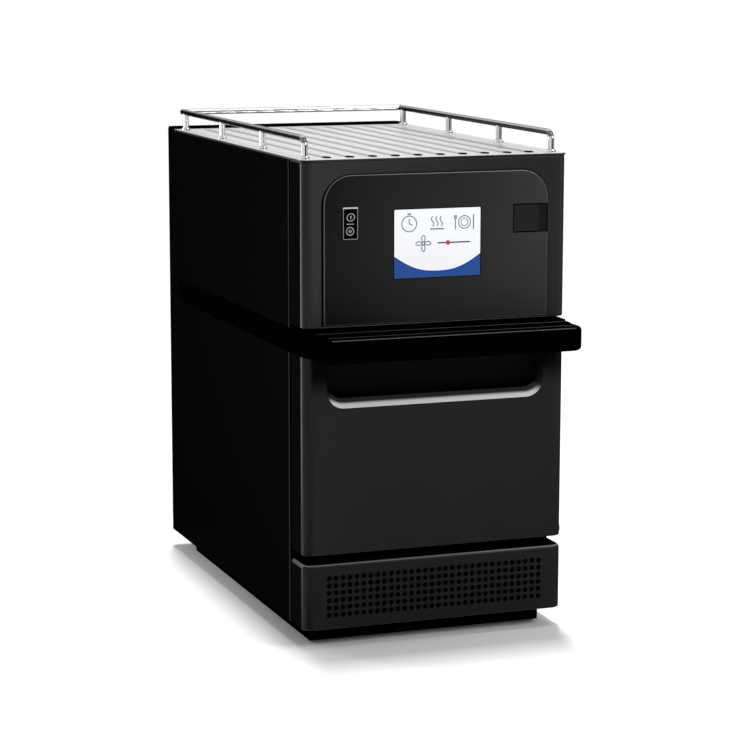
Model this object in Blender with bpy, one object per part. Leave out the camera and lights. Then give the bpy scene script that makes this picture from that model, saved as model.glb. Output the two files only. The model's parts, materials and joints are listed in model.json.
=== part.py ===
"""A tall, narrow countertop speed oven with a drop-down door.

The pieces are placed in the oven's own frame: x runs across, with 0 in the middle, y runs back from
the flat of the front, and z runs up from the underside of the casing. One empty carries them all, and
sets them on the floor with the middle of the whole oven over the origin. Sizes are in metres.
"""

from math import cos, pi, radians, sin, tau

import bmesh
import bpy
from mathutils import Vector

# Whole body
BODY_WIDTH = 0.356
BODY_DEPTH = 0.610
CLEARANCE = 0.0003
OVERRUN = 0.002

# Sheet metal casing
SKIN = 0.0015
PANEL_SETBACK = 0.0514
PANEL_RETURN = 0.012
BULKHEAD_MARGIN = 0.006
TRAY_LIP = 0.015
REAR_WRAP = 0.038
REAR_CORNER = 0.008
VENT_COUNT = 9
VENT_PITCH = 0.014
VENT_WIDTH = 0.110
VENT_HEIGHT = 0.005
VENT_TOP_DROP = 0.060

# Stand
PLINTH_HEIGHT = 0.0225
PLINTH_SIDE_INSET = 0.020
PLINTH_FRONT_INSET = 0.034
PLINTH_REAR_INSET = 0.060
PLINTH_WALL = 0.002
FOOT_HEIGHT = 0.003
FOOT_RADIUS = 0.016
FOOT_INSET = 0.030

# Mouldings of the front
FRONT_INSET = 0.0015
FRONT_WALL = 0.0025
FRONT_CORNER = 0.0125
FRONT_EDGE = 0.0015

# Air filter panel at the foot
FILTER_HEIGHT = 0.084
FILTER_TOP_EDGE = 0.0045
HOLE_COLUMNS = 32
HOLE_ROWS = 6
HOLE_SIDE_MARGIN = 0.03297
HOLE_ROW_PITCH = 0.0095
HOLE_RADIUS = 0.0028
MESH_THICKNESS = 0.004
MESH_MARGIN = 0.0106

# Door
DOOR_FOOT_GAP = 0.0121
LINING_STEP = 0.0012
LINING_MARGIN = 0.030
SEAL_WIDTH = 0.009
SEAL_MARGIN = 0.012
SEAL_THICKNESS = 0.003
SCOOP_SIDE_MARGIN = 0.0333
SCOOP_HEIGHT = 0.0545
SCOOP_DEPTH = 0.028
SCOOP_CORNER = 0.020
SCOOP_RISE = 0.004
LIP_HEIGHT = 0.0115
LIP_DEPTH = 0.010
LIP_SIDE = 0.003

# Door handle, and the belt that carries its line round the sides
HANDLE_HEIGHT = 0.0315
HANDLE_REACH = 0.064
HANDLE_CORNER = 0.018
HANDLE_EDGE = 0.005
HANDLE_STEP = 0.0012
HANDLE_LEDGE = 0.027
GRIP_DEPTH = 0.030
GRIP_ROOF = 0.009
GRIP_CHEEK = 0.014
BELT_THICKNESS = 0.002
BELT_LAP = 0.006
BELT_CORNER = 0.006
BELT_REAR_INSET = 0.020

# Door hinge
HINGE_DEPTH = 0.012
HINGE_RISE = 0.009
PIN_RADIUS = 0.004
PIN_END = 0.002
ARM_INSET = 0.0225
ARM_THICKNESS = 0.006
ARM_RADIUS = 0.006
ARM_FOOT_WIDTH = 0.018
ARM_FOOT_HEIGHT = 0.026
ARM_FOOT_THICKNESS = 0.003
HINGE_BOSS_RADIUS = 0.007
HINGE_BOSS_GAP = 0.001
RUNNING_GAP = 0.0006

# Door latch
LATCH_INSET = 0.0565
LATCH_RISE = 0.0515
LATCH_WIDTH = 0.012
LATCH_HEIGHT = 0.008
LATCH_REACH = 0.014
LATCH_PLATE = 0.024
LATCH_PLAY = 0.003
SWITCH_BODY_WIDTH = 0.034
SWITCH_BODY_HEIGHT = 0.028
SWITCH_BODY_DEPTH = 0.020

# Control fascia and its arched panel
FASCIA_GAP = 0.0043
FASCIA_HEIGHT = 0.2082
ARCH_SIDE_MARGIN = 0.0267
ARCH_FOOT = 0.0050
ARCH_HEAD = 0.0198
ARCH_CORNER = 0.036
ARCH_GROOVE = 0.0036
ARCH_FLARE = 0.0022
ARCH_BEVEL = 0.0018
ARCH_PROUD = 0.0010
ARCH_FLANGE = 0.006
ARCH_FLANGE_THICKNESS = 0.002

# Touch screen
SCREEN_WIDTH = 0.1172
SCREEN_HEIGHT = 0.0877
SCREEN_HEAD = 0.0635
SCREEN_CORNER = 0.002
SCREEN_SUNK = 0.0004
SCREEN_CASE_LAP = 0.008
SCREEN_CASE_DEPTH = 0.014

# Rocker switch
ROCKER_INSET = 0.0338
ROCKER_DROP = 0.0790
ROCKER_WIDTH = 0.0123
ROCKER_LENGTH = 0.0326
ROCKER_BEZEL = 0.0036
ROCKER_BEZEL_PROUD = 0.0012
ROCKER_CASE_WALL = 0.0015
ROCKER_CASE_DEPTH = 0.024
ROCKER_PIVOT_DEPTH = 0.0050
ROCKER_EAR = 0.0080
ROCKER_DISH = 0.0015
ROCKER_BACK = 0.0050
ROCKER_WELL = 0.016
ROCKER_TILT = radians(8)

# USB socket and its cover flap
USB_INSET = 0.0478
USB_DROP = 0.0620
USB_HEIGHT = 0.0370
FLAP_MARGIN = 0.0018
FLAP_WIDTH = 0.0340
FLAP_THICKNESS = 0.0020
FLAP_SUNK = 0.0002
FLAP_CORNER = 0.0020
SOCKET_WIDTH = 0.0130
SOCKET_HEIGHT = 0.0060
SOCKET_DEPTH = 0.0140
SOCKET_WALL = 0.0040
SOCKET_BODY_DEPTH = 0.0200

# Grooved top plate
PLATE_THICKNESS = 0.0026
GROOVE_COUNT = 10
GROOVE_SIDE_MARGIN = 0.0421
GROOVE_WIDTH = 0.012
GROOVE_DEPTH = 0.0012
GROOVE_FRONT = 0.032
GROOVE_REAR_INSET = 0.012
DRAIN_LENGTH = 0.009
DRAIN_WIDTH = 0.0055

# Guard rail
ROD_RADIUS = 0.004
RAIL_RISE = 0.0245
RAIL_INSET = 0.0125
RAIL_BEND = 0.010
RAIL_LEG_DEPTH = 0.0268
RAIL_REAR_INSET = 0.0440
POST_REAR_INSET = 0.0560
POST_PITCH = 0.1790
POST_COUNT = 3
COLLAR_RADIUS = 0.0062
COLLAR_HEIGHT = 0.0030

# Cooking cavity
CAVITY_SIDE_WALL = 0.0225
CAVITY_HEIGHT = 0.182
CAVITY_DEPTH = 0.311
CAVITY_SILL = 0.0119
CAVITY_HEAD = 0.0675
CAVITY_CORNER = 0.014
LEDGE_REACH = 0.008
LEDGE_THICKNESS = 0.003
LEDGE_RISE = 0.014
LEDGE_FRONT = 0.020
CEILING_DROP = 0.018
INTAKE_COUNT = 7
INTAKE_PITCH = 0.016
INTAKE_WIDTH = 0.007
INTAKE_HEIGHT = 0.090
COOK_PLATE_SIDE_GAP = 0.003
COOK_PLATE_FRONT = 0.006
COOK_PLATE_RIM = 0.010
COOK_PLATE_WALL = 0.003
COOK_PLATE_CORNER = 0.012
JET_COLUMNS = 4
JET_ROWS = 4
JET_PITCH = 0.062
JET_RADIUS = 0.008

# Hot air
PLENUM_SIDE_MARGIN = 0.0155
PLENUM_HEIGHT = 0.168
PLENUM_DEPTH = 0.050
WHEEL_RADIUS = 0.058
WHEEL_DISC = 0.0020
WHEEL_BLADES = 10
BLADE_DEPTH = 0.022
BLADE_THICKNESS = 0.0018
WHEEL_HUB_RADIUS = 0.012
WHEEL_REAR_GAP = 0.012
SHAFT_RADIUS = 0.005
SHAFT_GRIP = 0.014
MOTOR_RADIUS = 0.042
MOTOR_DEPTH = 0.062
MOTOR_FOOT_RADIUS = 0.050
MOTOR_FOOT_DEPTH = 0.004
HEATER_RADIUS = 0.070
HEATER_ROD = 0.004
HEATER_LEG_ANGLE = radians(14)
HEATER_FRONT_GAP = 0.012
HEATER_TAIL = 0.012

# Microwave supply
STIRRER_INSET = 0.0855
STIRRER_DEPTH = 0.180
STIRRER_RADIUS = 0.048
STIRRER_BLADES = 3
STIRRER_BLADE_WIDTH = 0.016
STIRRER_BLADE_THICKNESS = 0.0015
STIRRER_HUB_RADIUS = 0.007
STIRRER_SHAFT_RADIUS = 0.003
STIRRER_GRIP = 0.006
STIRRER_MOTOR_RADIUS = 0.024
STIRRER_MOTOR_HEIGHT = 0.018
GUIDE_INSET = 0.0855
GUIDE_WIDTH = 0.090
GUIDE_FRONT = 0.120
GUIDE_LENGTH = 0.180
GUIDE_HEIGHT = 0.042
GUIDE_WINDOW = 0.050
MAGNETRON_WIDTH = 0.082
MAGNETRON_LENGTH = 0.090
MAGNETRON_HEIGHT = 0.070
MAGNETRON_CORE = 0.020
MAGNETRON_FINS = 5
MAGNETRON_FIN = 0.0015
MAGNETRON_YOKE = 0.003
MAGNETRON_INSET = 0.010

# Power supply
CORE_WIDTH = 0.100
CORE_LENGTH = 0.080
CORE_HEIGHT = 0.084
COIL_BULGE = 0.018
COIL_SHORT = 0.020
CORE_DEPTH = 0.400
CORE_X = 0.070
CAPACITOR_WIDTH = 0.050
CAPACITOR_LENGTH = 0.032
CAPACITOR_HEIGHT = 0.090
CAPACITOR_X = -0.090
CAPACITOR_DEPTH = 0.400
FAN_SIDE = 0.080
FAN_DEPTH = 0.025
FAN_WALL = 0.003
FAN_BLADES = 7
FAN_HUB_RADIUS = 0.016
FAN_BLADE_THICKNESS = 0.0014
FAN_BLADE_CHORD = 0.018
FAN_BLADE_PITCH = radians(38)
FAN_STRUT = 0.004
FAN_STRUT_DEPTH = 0.003
FAN_SPINDLE = 0.003
BOARD_THICKNESS = 0.0016
BOARD_STANDOFF = 0.005
BOARD_STANDOFF_RADIUS = 0.003
BOARD_EDGE = 0.008
CONTROL_BOARD_WIDTH = 0.150
CONTROL_BOARD_HEIGHT = 0.110
POWER_BOARD_WIDTH = 0.200
POWER_BOARD_HEIGHT = 0.140
POWER_BOARD_HEAD = 0.032
CHIP_HEIGHT = 0.010
CHIP_WIDTH = 0.030

# Cable gland
GLAND_INSET = 0.068
GLAND_Z = 0.060
GLAND_BORE = 0.006
GLAND_THREAD = 0.010
GLAND_FLANGE = 0.015
GLAND_REACH = 0.012
GLAND_INSIDE = 0.010

# Round shapes
ROUND_SIDES = 20
SMALL_SIDES = 12
TINY_SIDES = 6
CORNER_STEPS = 4
SMALL_STEPS = 2
EDGE_STEPS = 3
ROD_SIDES = 10
BEND_STEPS = 5

# Places worked out from the sizes, from the floor of the casing up
HALF_WIDTH = BODY_WIDTH / 2
FRONT_HALF = HALF_WIDTH - FRONT_INSET
CAVITY_HALF = HALF_WIDTH - CAVITY_SIDE_WALL
ARM_X = HALF_WIDTH - ARM_INSET
DECK = SKIN + CLEARANCE
DOOR_LOW = FILTER_HEIGHT + DOOR_FOOT_GAP
PIVOT_Z = DOOR_LOW + HINGE_RISE
CAVITY_LOW = PIVOT_Z + ARM_FOOT_HEIGHT / 2 + CAVITY_SILL
CAVITY_TOP = CAVITY_LOW + CAVITY_HEIGHT
CAVITY_MIDDLE = CAVITY_LOW + CAVITY_HEIGHT / 2
LEDGE_TOP = CAVITY_LOW + LEDGE_RISE
CEILING_LEDGE = CAVITY_TOP - CEILING_DROP
LINER_ROOF = CAVITY_TOP + SKIN + CLEARANCE
LATCH_Z = CAVITY_TOP + LATCH_RISE
DOOR_TOP = CAVITY_TOP + CAVITY_HEAD
HANDLE_LOW = DOOR_TOP - HANDLE_HEIGHT
SCOOP_LOW = HANDLE_LOW - SCOOP_HEIGHT
FASCIA_LOW = DOOR_TOP + FASCIA_GAP
BODY_HEIGHT = FASCIA_LOW + FASCIA_HEIGHT
STAND_HEIGHT = FOOT_HEIGHT + PLINTH_HEIGHT
PLATE_UNDER = BODY_HEIGHT - PLATE_THICKNESS
ROOF_TOP = PLATE_UNDER - CLEARANCE
ROOF_UNDER = ROOF_TOP - SKIN
PLATE_SEAT = BODY_HEIGHT + CLEARANCE
RAIL_Z = BODY_HEIGHT + RAIL_RISE

# Places from the front back
FRONT_Y = (HANDLE_REACH - BODY_DEPTH - GLAND_REACH) / 2
BULKHEAD_BACK = PANEL_SETBACK - CLEARANCE
BULKHEAD_FACE = BULKHEAD_BACK - SKIN
FRONT_END = BULKHEAD_FACE - CLEARANCE
DOOR_DEPTH = FRONT_END - SEAL_THICKNESS - CLEARANCE
SHEET_START = PANEL_SETBACK + SKIN + CLEARANCE
SHEET_END = BODY_DEPTH - REAR_CORNER
WRAP_DEPTH = BODY_DEPTH - REAR_WRAP
REAR_INSIDE = BODY_DEPTH - SKIN
BELT_END = WRAP_DEPTH - BELT_REAR_INSET
LINER_FRONT = BULKHEAD_BACK + CLEARANCE
LINER_BACK = LINER_FRONT + CAVITY_DEPTH + SKIN
PLENUM_FRONT = LINER_BACK + CLEARANCE
PLENUM_BACK = PLENUM_FRONT + PLENUM_DEPTH
MOTOR_FRONT = PLENUM_BACK + CLEARANCE
RAIL_REAR_DEPTH = BODY_DEPTH - RAIL_REAR_INSET
POST_LAST_DEPTH = BODY_DEPTH - POST_REAR_INSET

# Places from the middle out
BULKHEAD_HALF = HALF_WIDTH - BULKHEAD_MARGIN
INNER_HALF = HALF_WIDTH - SKIN - CLEARANCE
TONGUE_HALF = HALF_WIDTH - PANEL_RETURN - CLEARANCE
BELT_FACE = HALF_WIDTH - SKIN - CLEARANCE
PIN_FAR = FRONT_HALF - FRONT_WALL - PIN_END
LATCH_X = FRONT_HALF - LATCH_INSET
STIRRER_X = CAVITY_HALF - STIRRER_INSET
GUIDE_X = GUIDE_INSET - CAVITY_HALF
SCOOP_HALF_WIDTH = FRONT_HALF - SCOOP_SIDE_MARGIN
HOLE_FIELD_HALF = FRONT_HALF - HOLE_SIDE_MARGIN
HOLE_COLUMN_PITCH = HOLE_FIELD_HALF * 2 / (HOLE_COLUMNS - 1)
GROOVE_PITCH = (HALF_WIDTH - GROOVE_SIDE_MARGIN) * 2 / (GROOVE_COUNT - 1)
RAIL_X = HALF_WIDTH - RAIL_INSET
GLAND_X = GLAND_INSET - HALF_WIDTH

# Places on the control panel
ARCH_HALF_WIDTH = FRONT_HALF - ARCH_SIDE_MARGIN
ARCH_LOW = FASCIA_LOW + ARCH_FOOT
ARCH_TOP = BODY_HEIGHT - ARCH_HEAD
ARCH_FLANGE_FACE = FRONT_WALL + CLEARANCE
ARCH_BACK = ARCH_FLANGE_FACE + ARCH_FLANGE_THICKNESS
SCREEN_LOW = BODY_HEIGHT - SCREEN_HEAD - SCREEN_HEIGHT
SCREEN_MIDDLE = SCREEN_LOW + SCREEN_HEIGHT / 2
SCREEN_BACK = ARCH_BACK + CLEARANCE + SCREEN_CASE_DEPTH
ROCKER_CENTRE_X = ROCKER_INSET - ARCH_HALF_WIDTH
ROCKER_CENTRE_Z = BODY_HEIGHT - ROCKER_DROP
ROCKER_SWEEP = ROCKER_LENGTH / 2
BEZEL_BACK = -ARCH_PROUD - CLEARANCE
BEZEL_FACE = BEZEL_BACK - ROCKER_BEZEL_PROUD
USB_LEFT = ARCH_HALF_WIDTH - USB_INSET
USB_LOW = BODY_HEIGHT - USB_DROP - USB_HEIGHT
FLAP_LEFT = USB_LEFT + FLAP_MARGIN
FLAP_AXIS_X = FLAP_LEFT + FLAP_THICKNESS / 2
FLAP_FACE = FLAP_SUNK
FLAP_AXIS_Y = FLAP_FACE + FLAP_THICKNESS / 2
SIDES = (("left", -1), ("right", 1))

# Finishes: base colour, roughness, metallic
FINISHES = {
    "black_steel": ((0.006, 0.006, 0.007), 0.42, 0.0),
    "charcoal": ((0.024, 0.024, 0.026), 0.40, 0.0),
    "gloss_black": ((0.003, 0.003, 0.003), 0.30, 0.0),
    "stainless": ((0.62, 0.62, 0.61), 0.28, 1.0),
    "white_steel": ((0.80, 0.80, 0.79), 0.35, 0.3),
    "cast_aluminium": ((0.45, 0.45, 0.46), 0.45, 1.0),
    "rubber": ((0.012, 0.012, 0.012), 0.75, 0.0),
    "silicone": ((0.10, 0.10, 0.11), 0.65, 0.0),
    "screen_glass": ((0.86, 0.87, 0.90), 0.12, 0.0),
    "filter_mesh": ((0.05, 0.05, 0.05), 0.60, 0.5),
    "laminations": ((0.16, 0.16, 0.17), 0.50, 0.9),
    "board_green": ((0.02, 0.12, 0.05), 0.50, 0.0),
    "heater_sheath": ((0.20, 0.18, 0.16), 0.45, 0.9),
}


def clear_objects():
    """Starts from an empty scene."""
    for existing in list(bpy.data.objects):
        bpy.data.objects.remove(existing, do_unlink=True)


def finish(name):
    """The Principled material of this name, made once."""
    found = bpy.data.materials.get(name)
    if found:
        return found
    colour, roughness, metallic = FINISHES[name]
    made = bpy.data.materials.new(name)
    made.use_nodes = True
    shader = made.node_tree.nodes["Principled BSDF"]
    shader.inputs["Base Color"].default_value = (*colour, 1)
    shader.inputs["Roughness"].default_value = roughness
    shader.inputs["Metallic"].default_value = metallic
    return made


# Outlines are lists of points in the plane across an axis, and shapes are points with faces.


def rectangle(left, right, low, high):
    return [(left, low), (right, low), (right, high), (left, high)]


def arc(centre, radius, start, turn, steps):
    angles = [start + turn * i / steps for i in range(steps + 1)]
    return [(centre[0] + radius * cos(a), centre[1] + radius * sin(a)) for a in angles]


def circle(centre, radius, sides):
    return arc(centre, radius, pi / sides, tau, sides)[:-1]


def rounded(left, right, low, high, radii, steps=CORNER_STEPS):
    """A rectangle with its four corner radii in turn: low left, low right, high right, high left."""
    places = ((left, low, 1, 1), (right, low, -1, 1), (right, high, -1, -1), (left, high, 1, -1))
    outline = []
    for turn, ((u, v, inward_u, inward_v), radius) in enumerate(zip(places, radii)):
        if radius == 0:
            outline.append((u, v))
            continue
        centre = (u + inward_u * radius, v + inward_v * radius)
        outline += arc(centre, radius, pi + turn * pi / 2, pi / 2, steps)
    return outline


def point_on(axis, u, v, along):
    return {"X": (along, u, v), "Y": (u, along, v), "Z": (u, v, along)}[axis]


def loft(axis, sections):
    """A closed solid through outlines of equal length, each at its place along the axis."""
    count = len(sections[0][0])
    points = [point_on(axis, u, v, along) for outline, along in sections for u, v in outline]
    faces = [tuple(range(count)), tuple(range(len(points) - count, len(points)))]
    for start in range(0, len(points) - count, count):
        for i in range(count):
            j = (i + 1) % count
            faces.append((start + i, start + j, start + count + j, start + count + i))
    return points, faces


def prism(axis, outline, low, high):
    return loft(axis, [(outline, low), (outline, high)])


def block(left, right, front, back, low, high):
    return prism("Z", rectangle(left, right, front, back), low, high)


def turned(axis, centre, profile, sides=ROUND_SIDES):
    """A solid of revolution from (radius, place along the axis) pairs."""
    return loft(axis, [(circle(centre, radius, sides), along) for radius, along in profile])


def bar(axis, centre, radius, low, high, sides=ROUND_SIDES):
    return turned(axis, centre, ((radius, low), (radius, high)), sides)


def rod(path, radius, sides=ROD_SIDES):
    """A round rod along a path that lies in one plane."""
    points = []
    spots = [Vector(p) for p in path]
    normal = Vector((0, 0, 0))
    for a, b, c in zip(spots, spots[1:], spots[2:]):
        normal += (b - a).cross(c - b)
    normal.normalize()
    for i, spot in enumerate(spots):
        before = (spot - spots[i - 1]).normalized() if i else (spots[1] - spot).normalized()
        after = (spots[i + 1] - spot).normalized() if i < len(spots) - 1 else before
        heading = (before + after).normalized()
        across = heading.cross(normal)
        stretch = 1 / max(heading.dot(before), 0.5)
        for side in range(sides):
            angle = tau * (side + 0.5) / sides
            points.append(tuple(spot + radius * (cos(angle) * normal + stretch * sin(angle) * across)))
    faces = [tuple(range(sides)), tuple(range(len(points) - sides, len(points)))]
    for start in range(0, len(points) - sides, sides):
        for i in range(sides):
            j = (i + 1) % sides
            faces.append((start + i, start + j, start + sides + j, start + sides + i))
    return points, faces


def together(*shapes):
    points, faces = [], []
    for more_points, more_faces in shapes:
        faces += [tuple(i + len(points) for i in face) for face in more_faces]
        points += more_points
    return points, faces


def mirrored(shape):
    points, faces = shape
    return [(-x, y, z) for x, y, z in points], faces


def mesh_of(name, shape, pivot):
    points, faces = shape
    made = bpy.data.meshes.new(name)
    made.from_pydata([Vector(p) - Vector(pivot) for p in points], [], faces)
    shell = bmesh.new()
    shell.from_mesh(made)
    bmesh.ops.recalc_face_normals(shell, faces=shell.faces)
    shell.to_mesh(made)
    shell.free()
    made.shade_smooth()
    made.set_sharp_from_angle(angle=radians(32))
    return made


def placed(name, shape, pivot):
    made = bpy.data.objects.new(name, mesh_of(name, shape, pivot))
    bpy.context.scene.collection.objects.link(made)
    made.parent = bpy.data.objects["oven_origin"]
    made.location = pivot
    return made


def piece(name, shape, finish_name, pivot=(0, 0, 0)):
    made = placed(name, shape, pivot)
    made.data.materials.append(finish(finish_name))
    return made


def shaped(made, operation, shape):
    """Adds to, cuts or trims a piece with another shape, by a Boolean modifier."""
    label = f"{made.name}_{operation.lower()}_{len(made.modifiers)}"
    tool = placed(label, shape, tuple(made.location))
    tool.hide_render = True
    tool.display_type = "WIRE"
    change = made.modifiers.new(label, "BOOLEAN")
    change.operation = operation
    change.solver = "EXACT"
    change.object = tool


def add(made, *shapes):
    for shape in shapes:
        shaped(made, "UNION", shape)


def cut(made, *shapes):
    shaped(made, "DIFFERENCE", together(*shapes))


def spread(count, pitch):
    """Places of a row of equal steps, centred on 0."""
    return [(i - (count - 1) / 2) * pitch for i in range(count)]


def plan_with_round_front(half, depth, radius, inset=0):
    """A plan rounded at its two front corners, drawn in at the front and the sides."""
    tight = radius - inset
    return rounded(inset - half, half - inset, inset, depth, (tight, tight, 0, 0))


def easing(edge):
    """How far an eased edge draws in, and how far it rises, from its tip to its foot."""
    if edge == 0:
        return [(0, 0)]
    turns = [pi / 2 * step / EDGE_STEPS for step in range(EDGE_STEPS + 1)]
    return [(edge - edge * sin(turn), edge - edge * cos(turn)) for turn in turns]


def moulding(depth, low, high, low_edge, high_edge):
    """The outer solid of a piece of the front, as wide as the front, with its edges eased."""
    places = [(inset, low + rise) for inset, rise in easing(low_edge)]
    places += [(inset, high - rise) for inset, rise in reversed(easing(high_edge))]
    plans = [plan_with_round_front(FRONT_HALF, depth, FRONT_CORNER, inset) for inset, _ in places]
    return loft("Z", [(plan, z) for plan, (_, z) in zip(plans, places)])


def moulding_hollow(depth, low, high):
    """The space inside such a piece, open at its back."""
    inner = FRONT_HALF - FRONT_WALL
    tight = FRONT_CORNER - FRONT_WALL
    plan = rounded(-inner, inner, FRONT_WALL, depth + OVERRUN, (tight, tight, 0, 0))
    return prism("Z", plan, low + FRONT_WALL, high - FRONT_WALL)


# Stand


def make_plinth():
    half = HALF_WIDTH - PLINTH_SIDE_INSET
    back = BODY_DEPTH - PLINTH_REAR_INSET
    plinth = piece(
        "plinth", block(-half, half, PLINTH_FRONT_INSET, back, -PLINTH_HEIGHT, -CLEARANCE), "gloss_black"
    )
    inner = half - PLINTH_WALL
    cut(plinth, block(-inner, inner, PLINTH_FRONT_INSET + PLINTH_WALL, back - PLINTH_WALL,
                      PLINTH_WALL - PLINTH_HEIGHT, OVERRUN))


def make_feet():
    x = HALF_WIDTH - PLINTH_SIDE_INSET - FOOT_INSET
    front = PLINTH_FRONT_INSET + FOOT_INSET
    rear = BODY_DEPTH - PLINTH_REAR_INSET - FOOT_INSET
    for end, y in (("front", front), ("rear", rear)):
        for side, sign in SIDES:
            piece(
                f"foot_{end}_{side}",
                bar("Z", (sign * x, y), FOOT_RADIUS, -STAND_HEIGHT, -PLINTH_HEIGHT - CLEARANCE, SMALL_SIDES),
                "rubber",
            )


# Casing


def make_base_tray():
    inner = INNER_HALF - SKIN
    section = [(-INNER_HALF, 0), (INNER_HALF, 0), (INNER_HALF, TRAY_LIP), (inner, TRAY_LIP), (inner, SKIN),
               (-inner, SKIN), (-inner, TRAY_LIP), (-INNER_HALF, TRAY_LIP)]
    tray = piece("base_tray", prism("Y", section, SHEET_START, SHEET_END), "black_steel")
    add(tray, block(-TONGUE_HALF, TONGUE_HALF, BULKHEAD_FACE, SHEET_START + OVERRUN, 0, SKIN))


def make_side_panels():
    belt = rounded(0, BELT_END, HANDLE_LOW, DOOR_TOP, (0, BELT_CORNER, BELT_CORNER, 0))
    inner = HALF_WIDTH - SKIN
    back = WRAP_DEPTH - CLEARANCE
    fold = PANEL_SETBACK + SKIN
    folded = HALF_WIDTH - PANEL_RETURN
    plan = [(HALF_WIDTH, PANEL_SETBACK), (HALF_WIDTH, back), (inner, back), (inner, fold), (folded, fold),
            (folded, PANEL_SETBACK)]
    shape = prism("Z", plan, 0, ROOF_TOP)
    slot = prism("X", belt, folded - OVERRUN, HALF_WIDTH + OVERRUN)
    right = piece("side_panel_right", shape, "black_steel")
    cut(right, slot)
    left = piece("side_panel_left", mirrored(shape), "black_steel")
    cut(left, mirrored(slot))


def make_belt_trims():
    """Black strips that lie behind the slot in each side panel and close it."""
    strip = rounded(
        PANEL_SETBACK + SKIN + CLEARANCE, BELT_END + BELT_LAP, HANDLE_LOW - BELT_LAP, DOOR_TOP + BELT_LAP,
        (0, BELT_CORNER, BELT_CORNER, 0),
    )
    shape = prism("X", strip, BELT_FACE - BELT_THICKNESS, BELT_FACE)
    piece("belt_trim_right", shape, "gloss_black")
    piece("belt_trim_left", mirrored(shape), "gloss_black")


def make_bulkhead():
    """The sheet that the front pieces close against, with the mouth of the cavity in it."""
    bulkhead = piece(
        "front_bulkhead",
        block(-BULKHEAD_HALF, BULKHEAD_HALF, BULKHEAD_FACE, BULKHEAD_BACK, DECK, ROOF_UNDER - CLEARANCE),
        "black_steel",
    )
    front = BULKHEAD_FACE - OVERRUN
    back = BULKHEAD_BACK + OVERRUN
    corners = (CAVITY_CORNER,) * 4
    mouth = rounded(-CAVITY_HALF, CAVITY_HALF, CAVITY_LOW, CAVITY_TOP, corners)
    openings = [prism("Y", mouth, front, back)]
    fan_centre = (0, DECK + FAN_SIDE / 2)
    openings.append(bar("Y", fan_centre, FAN_SIDE / 2 - FAN_WALL, front, back))
    slot = ARM_THICKNESS / 2 + RUNNING_GAP
    reach = ARM_RADIUS + RUNNING_GAP
    for _, sign in SIDES:
        x = sign * ARM_X
        openings.append(block(x - slot, x + slot, front, back, PIVOT_Z - reach, PIVOT_Z + reach))
    wide = LATCH_WIDTH / 2 + LATCH_PLAY
    tall = LATCH_HEIGHT / 2 + LATCH_PLAY
    openings.append(block(LATCH_X - wide, LATCH_X + wide, front, back, LATCH_Z - tall, LATCH_Z + tall))
    cut(bulkhead, *openings)


def make_roof_panel():
    """A sheet whose narrower front end passes between the side panels' folded edges."""
    wide, narrow = INNER_HALF, TONGUE_HALF
    plan = [(-narrow, BULKHEAD_FACE), (narrow, BULKHEAD_FACE), (narrow, SHEET_START), (wide, SHEET_START),
            (wide, SHEET_END), (-wide, SHEET_END), (-wide, SHEET_START), (-narrow, SHEET_START)]
    piece("roof_panel", prism("Z", plan, ROOF_UNDER, ROOF_TOP), "black_steel")


def make_rear_cover():
    """A folded pan over the back, wrapping onto the sides and the top, with two banks of vents."""
    corners = (0, 0, REAR_CORNER, REAR_CORNER)
    outer = prism("Z", rounded(-HALF_WIDTH, HALF_WIDTH, WRAP_DEPTH, BODY_DEPTH, corners), 0, BODY_HEIGHT)
    cover = piece("rear_cover", outer, "black_steel")
    inner = HALF_WIDTH - SKIN
    tight = (0, 0, REAR_CORNER - SKIN, REAR_CORNER - SKIN)
    hollow = rounded(-inner, inner, WRAP_DEPTH - OVERRUN, REAR_INSIDE, tight)
    cut(cover, prism("Z", hollow, -OVERRUN, BODY_HEIGHT - SKIN))
    front = REAR_INSIDE - OVERRUN
    back = BODY_DEPTH + OVERRUN
    vents = []
    for _, sign in SIDES:
        x = sign * HALF_WIDTH / 2
        for row in range(VENT_COUNT):
            z = BODY_HEIGHT - VENT_TOP_DROP - row * VENT_PITCH
            vents.append(block(x - VENT_WIDTH / 2, x + VENT_WIDTH / 2, front, back, z - VENT_HEIGHT, z))
    vents.append(bar("Y", (GLAND_X, GLAND_Z), GLAND_THREAD + CLEARANCE, front, back, SMALL_SIDES))
    cut(cover, *vents)


def make_cable_gland():
    centre = (GLAND_X, GLAND_Z)
    seat = BODY_DEPTH + CLEARANCE
    profile = (
        (GLAND_THREAD, BODY_DEPTH - SKIN - GLAND_INSIDE),
        (GLAND_THREAD, seat),
        (GLAND_FLANGE, seat),
        (GLAND_FLANGE, (seat + BODY_DEPTH + GLAND_REACH) / 2),
        (GLAND_THREAD, BODY_DEPTH + GLAND_REACH),
    )
    gland = piece("cable_gland", turned("Y", centre, profile, SMALL_SIDES), "rubber")
    start = BODY_DEPTH - SKIN - GLAND_INSIDE - OVERRUN
    cut(gland, bar("Y", centre, GLAND_BORE, start, BODY_DEPTH + GLAND_REACH + OVERRUN, SMALL_SIDES))


# Top plate and guard rail


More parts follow.
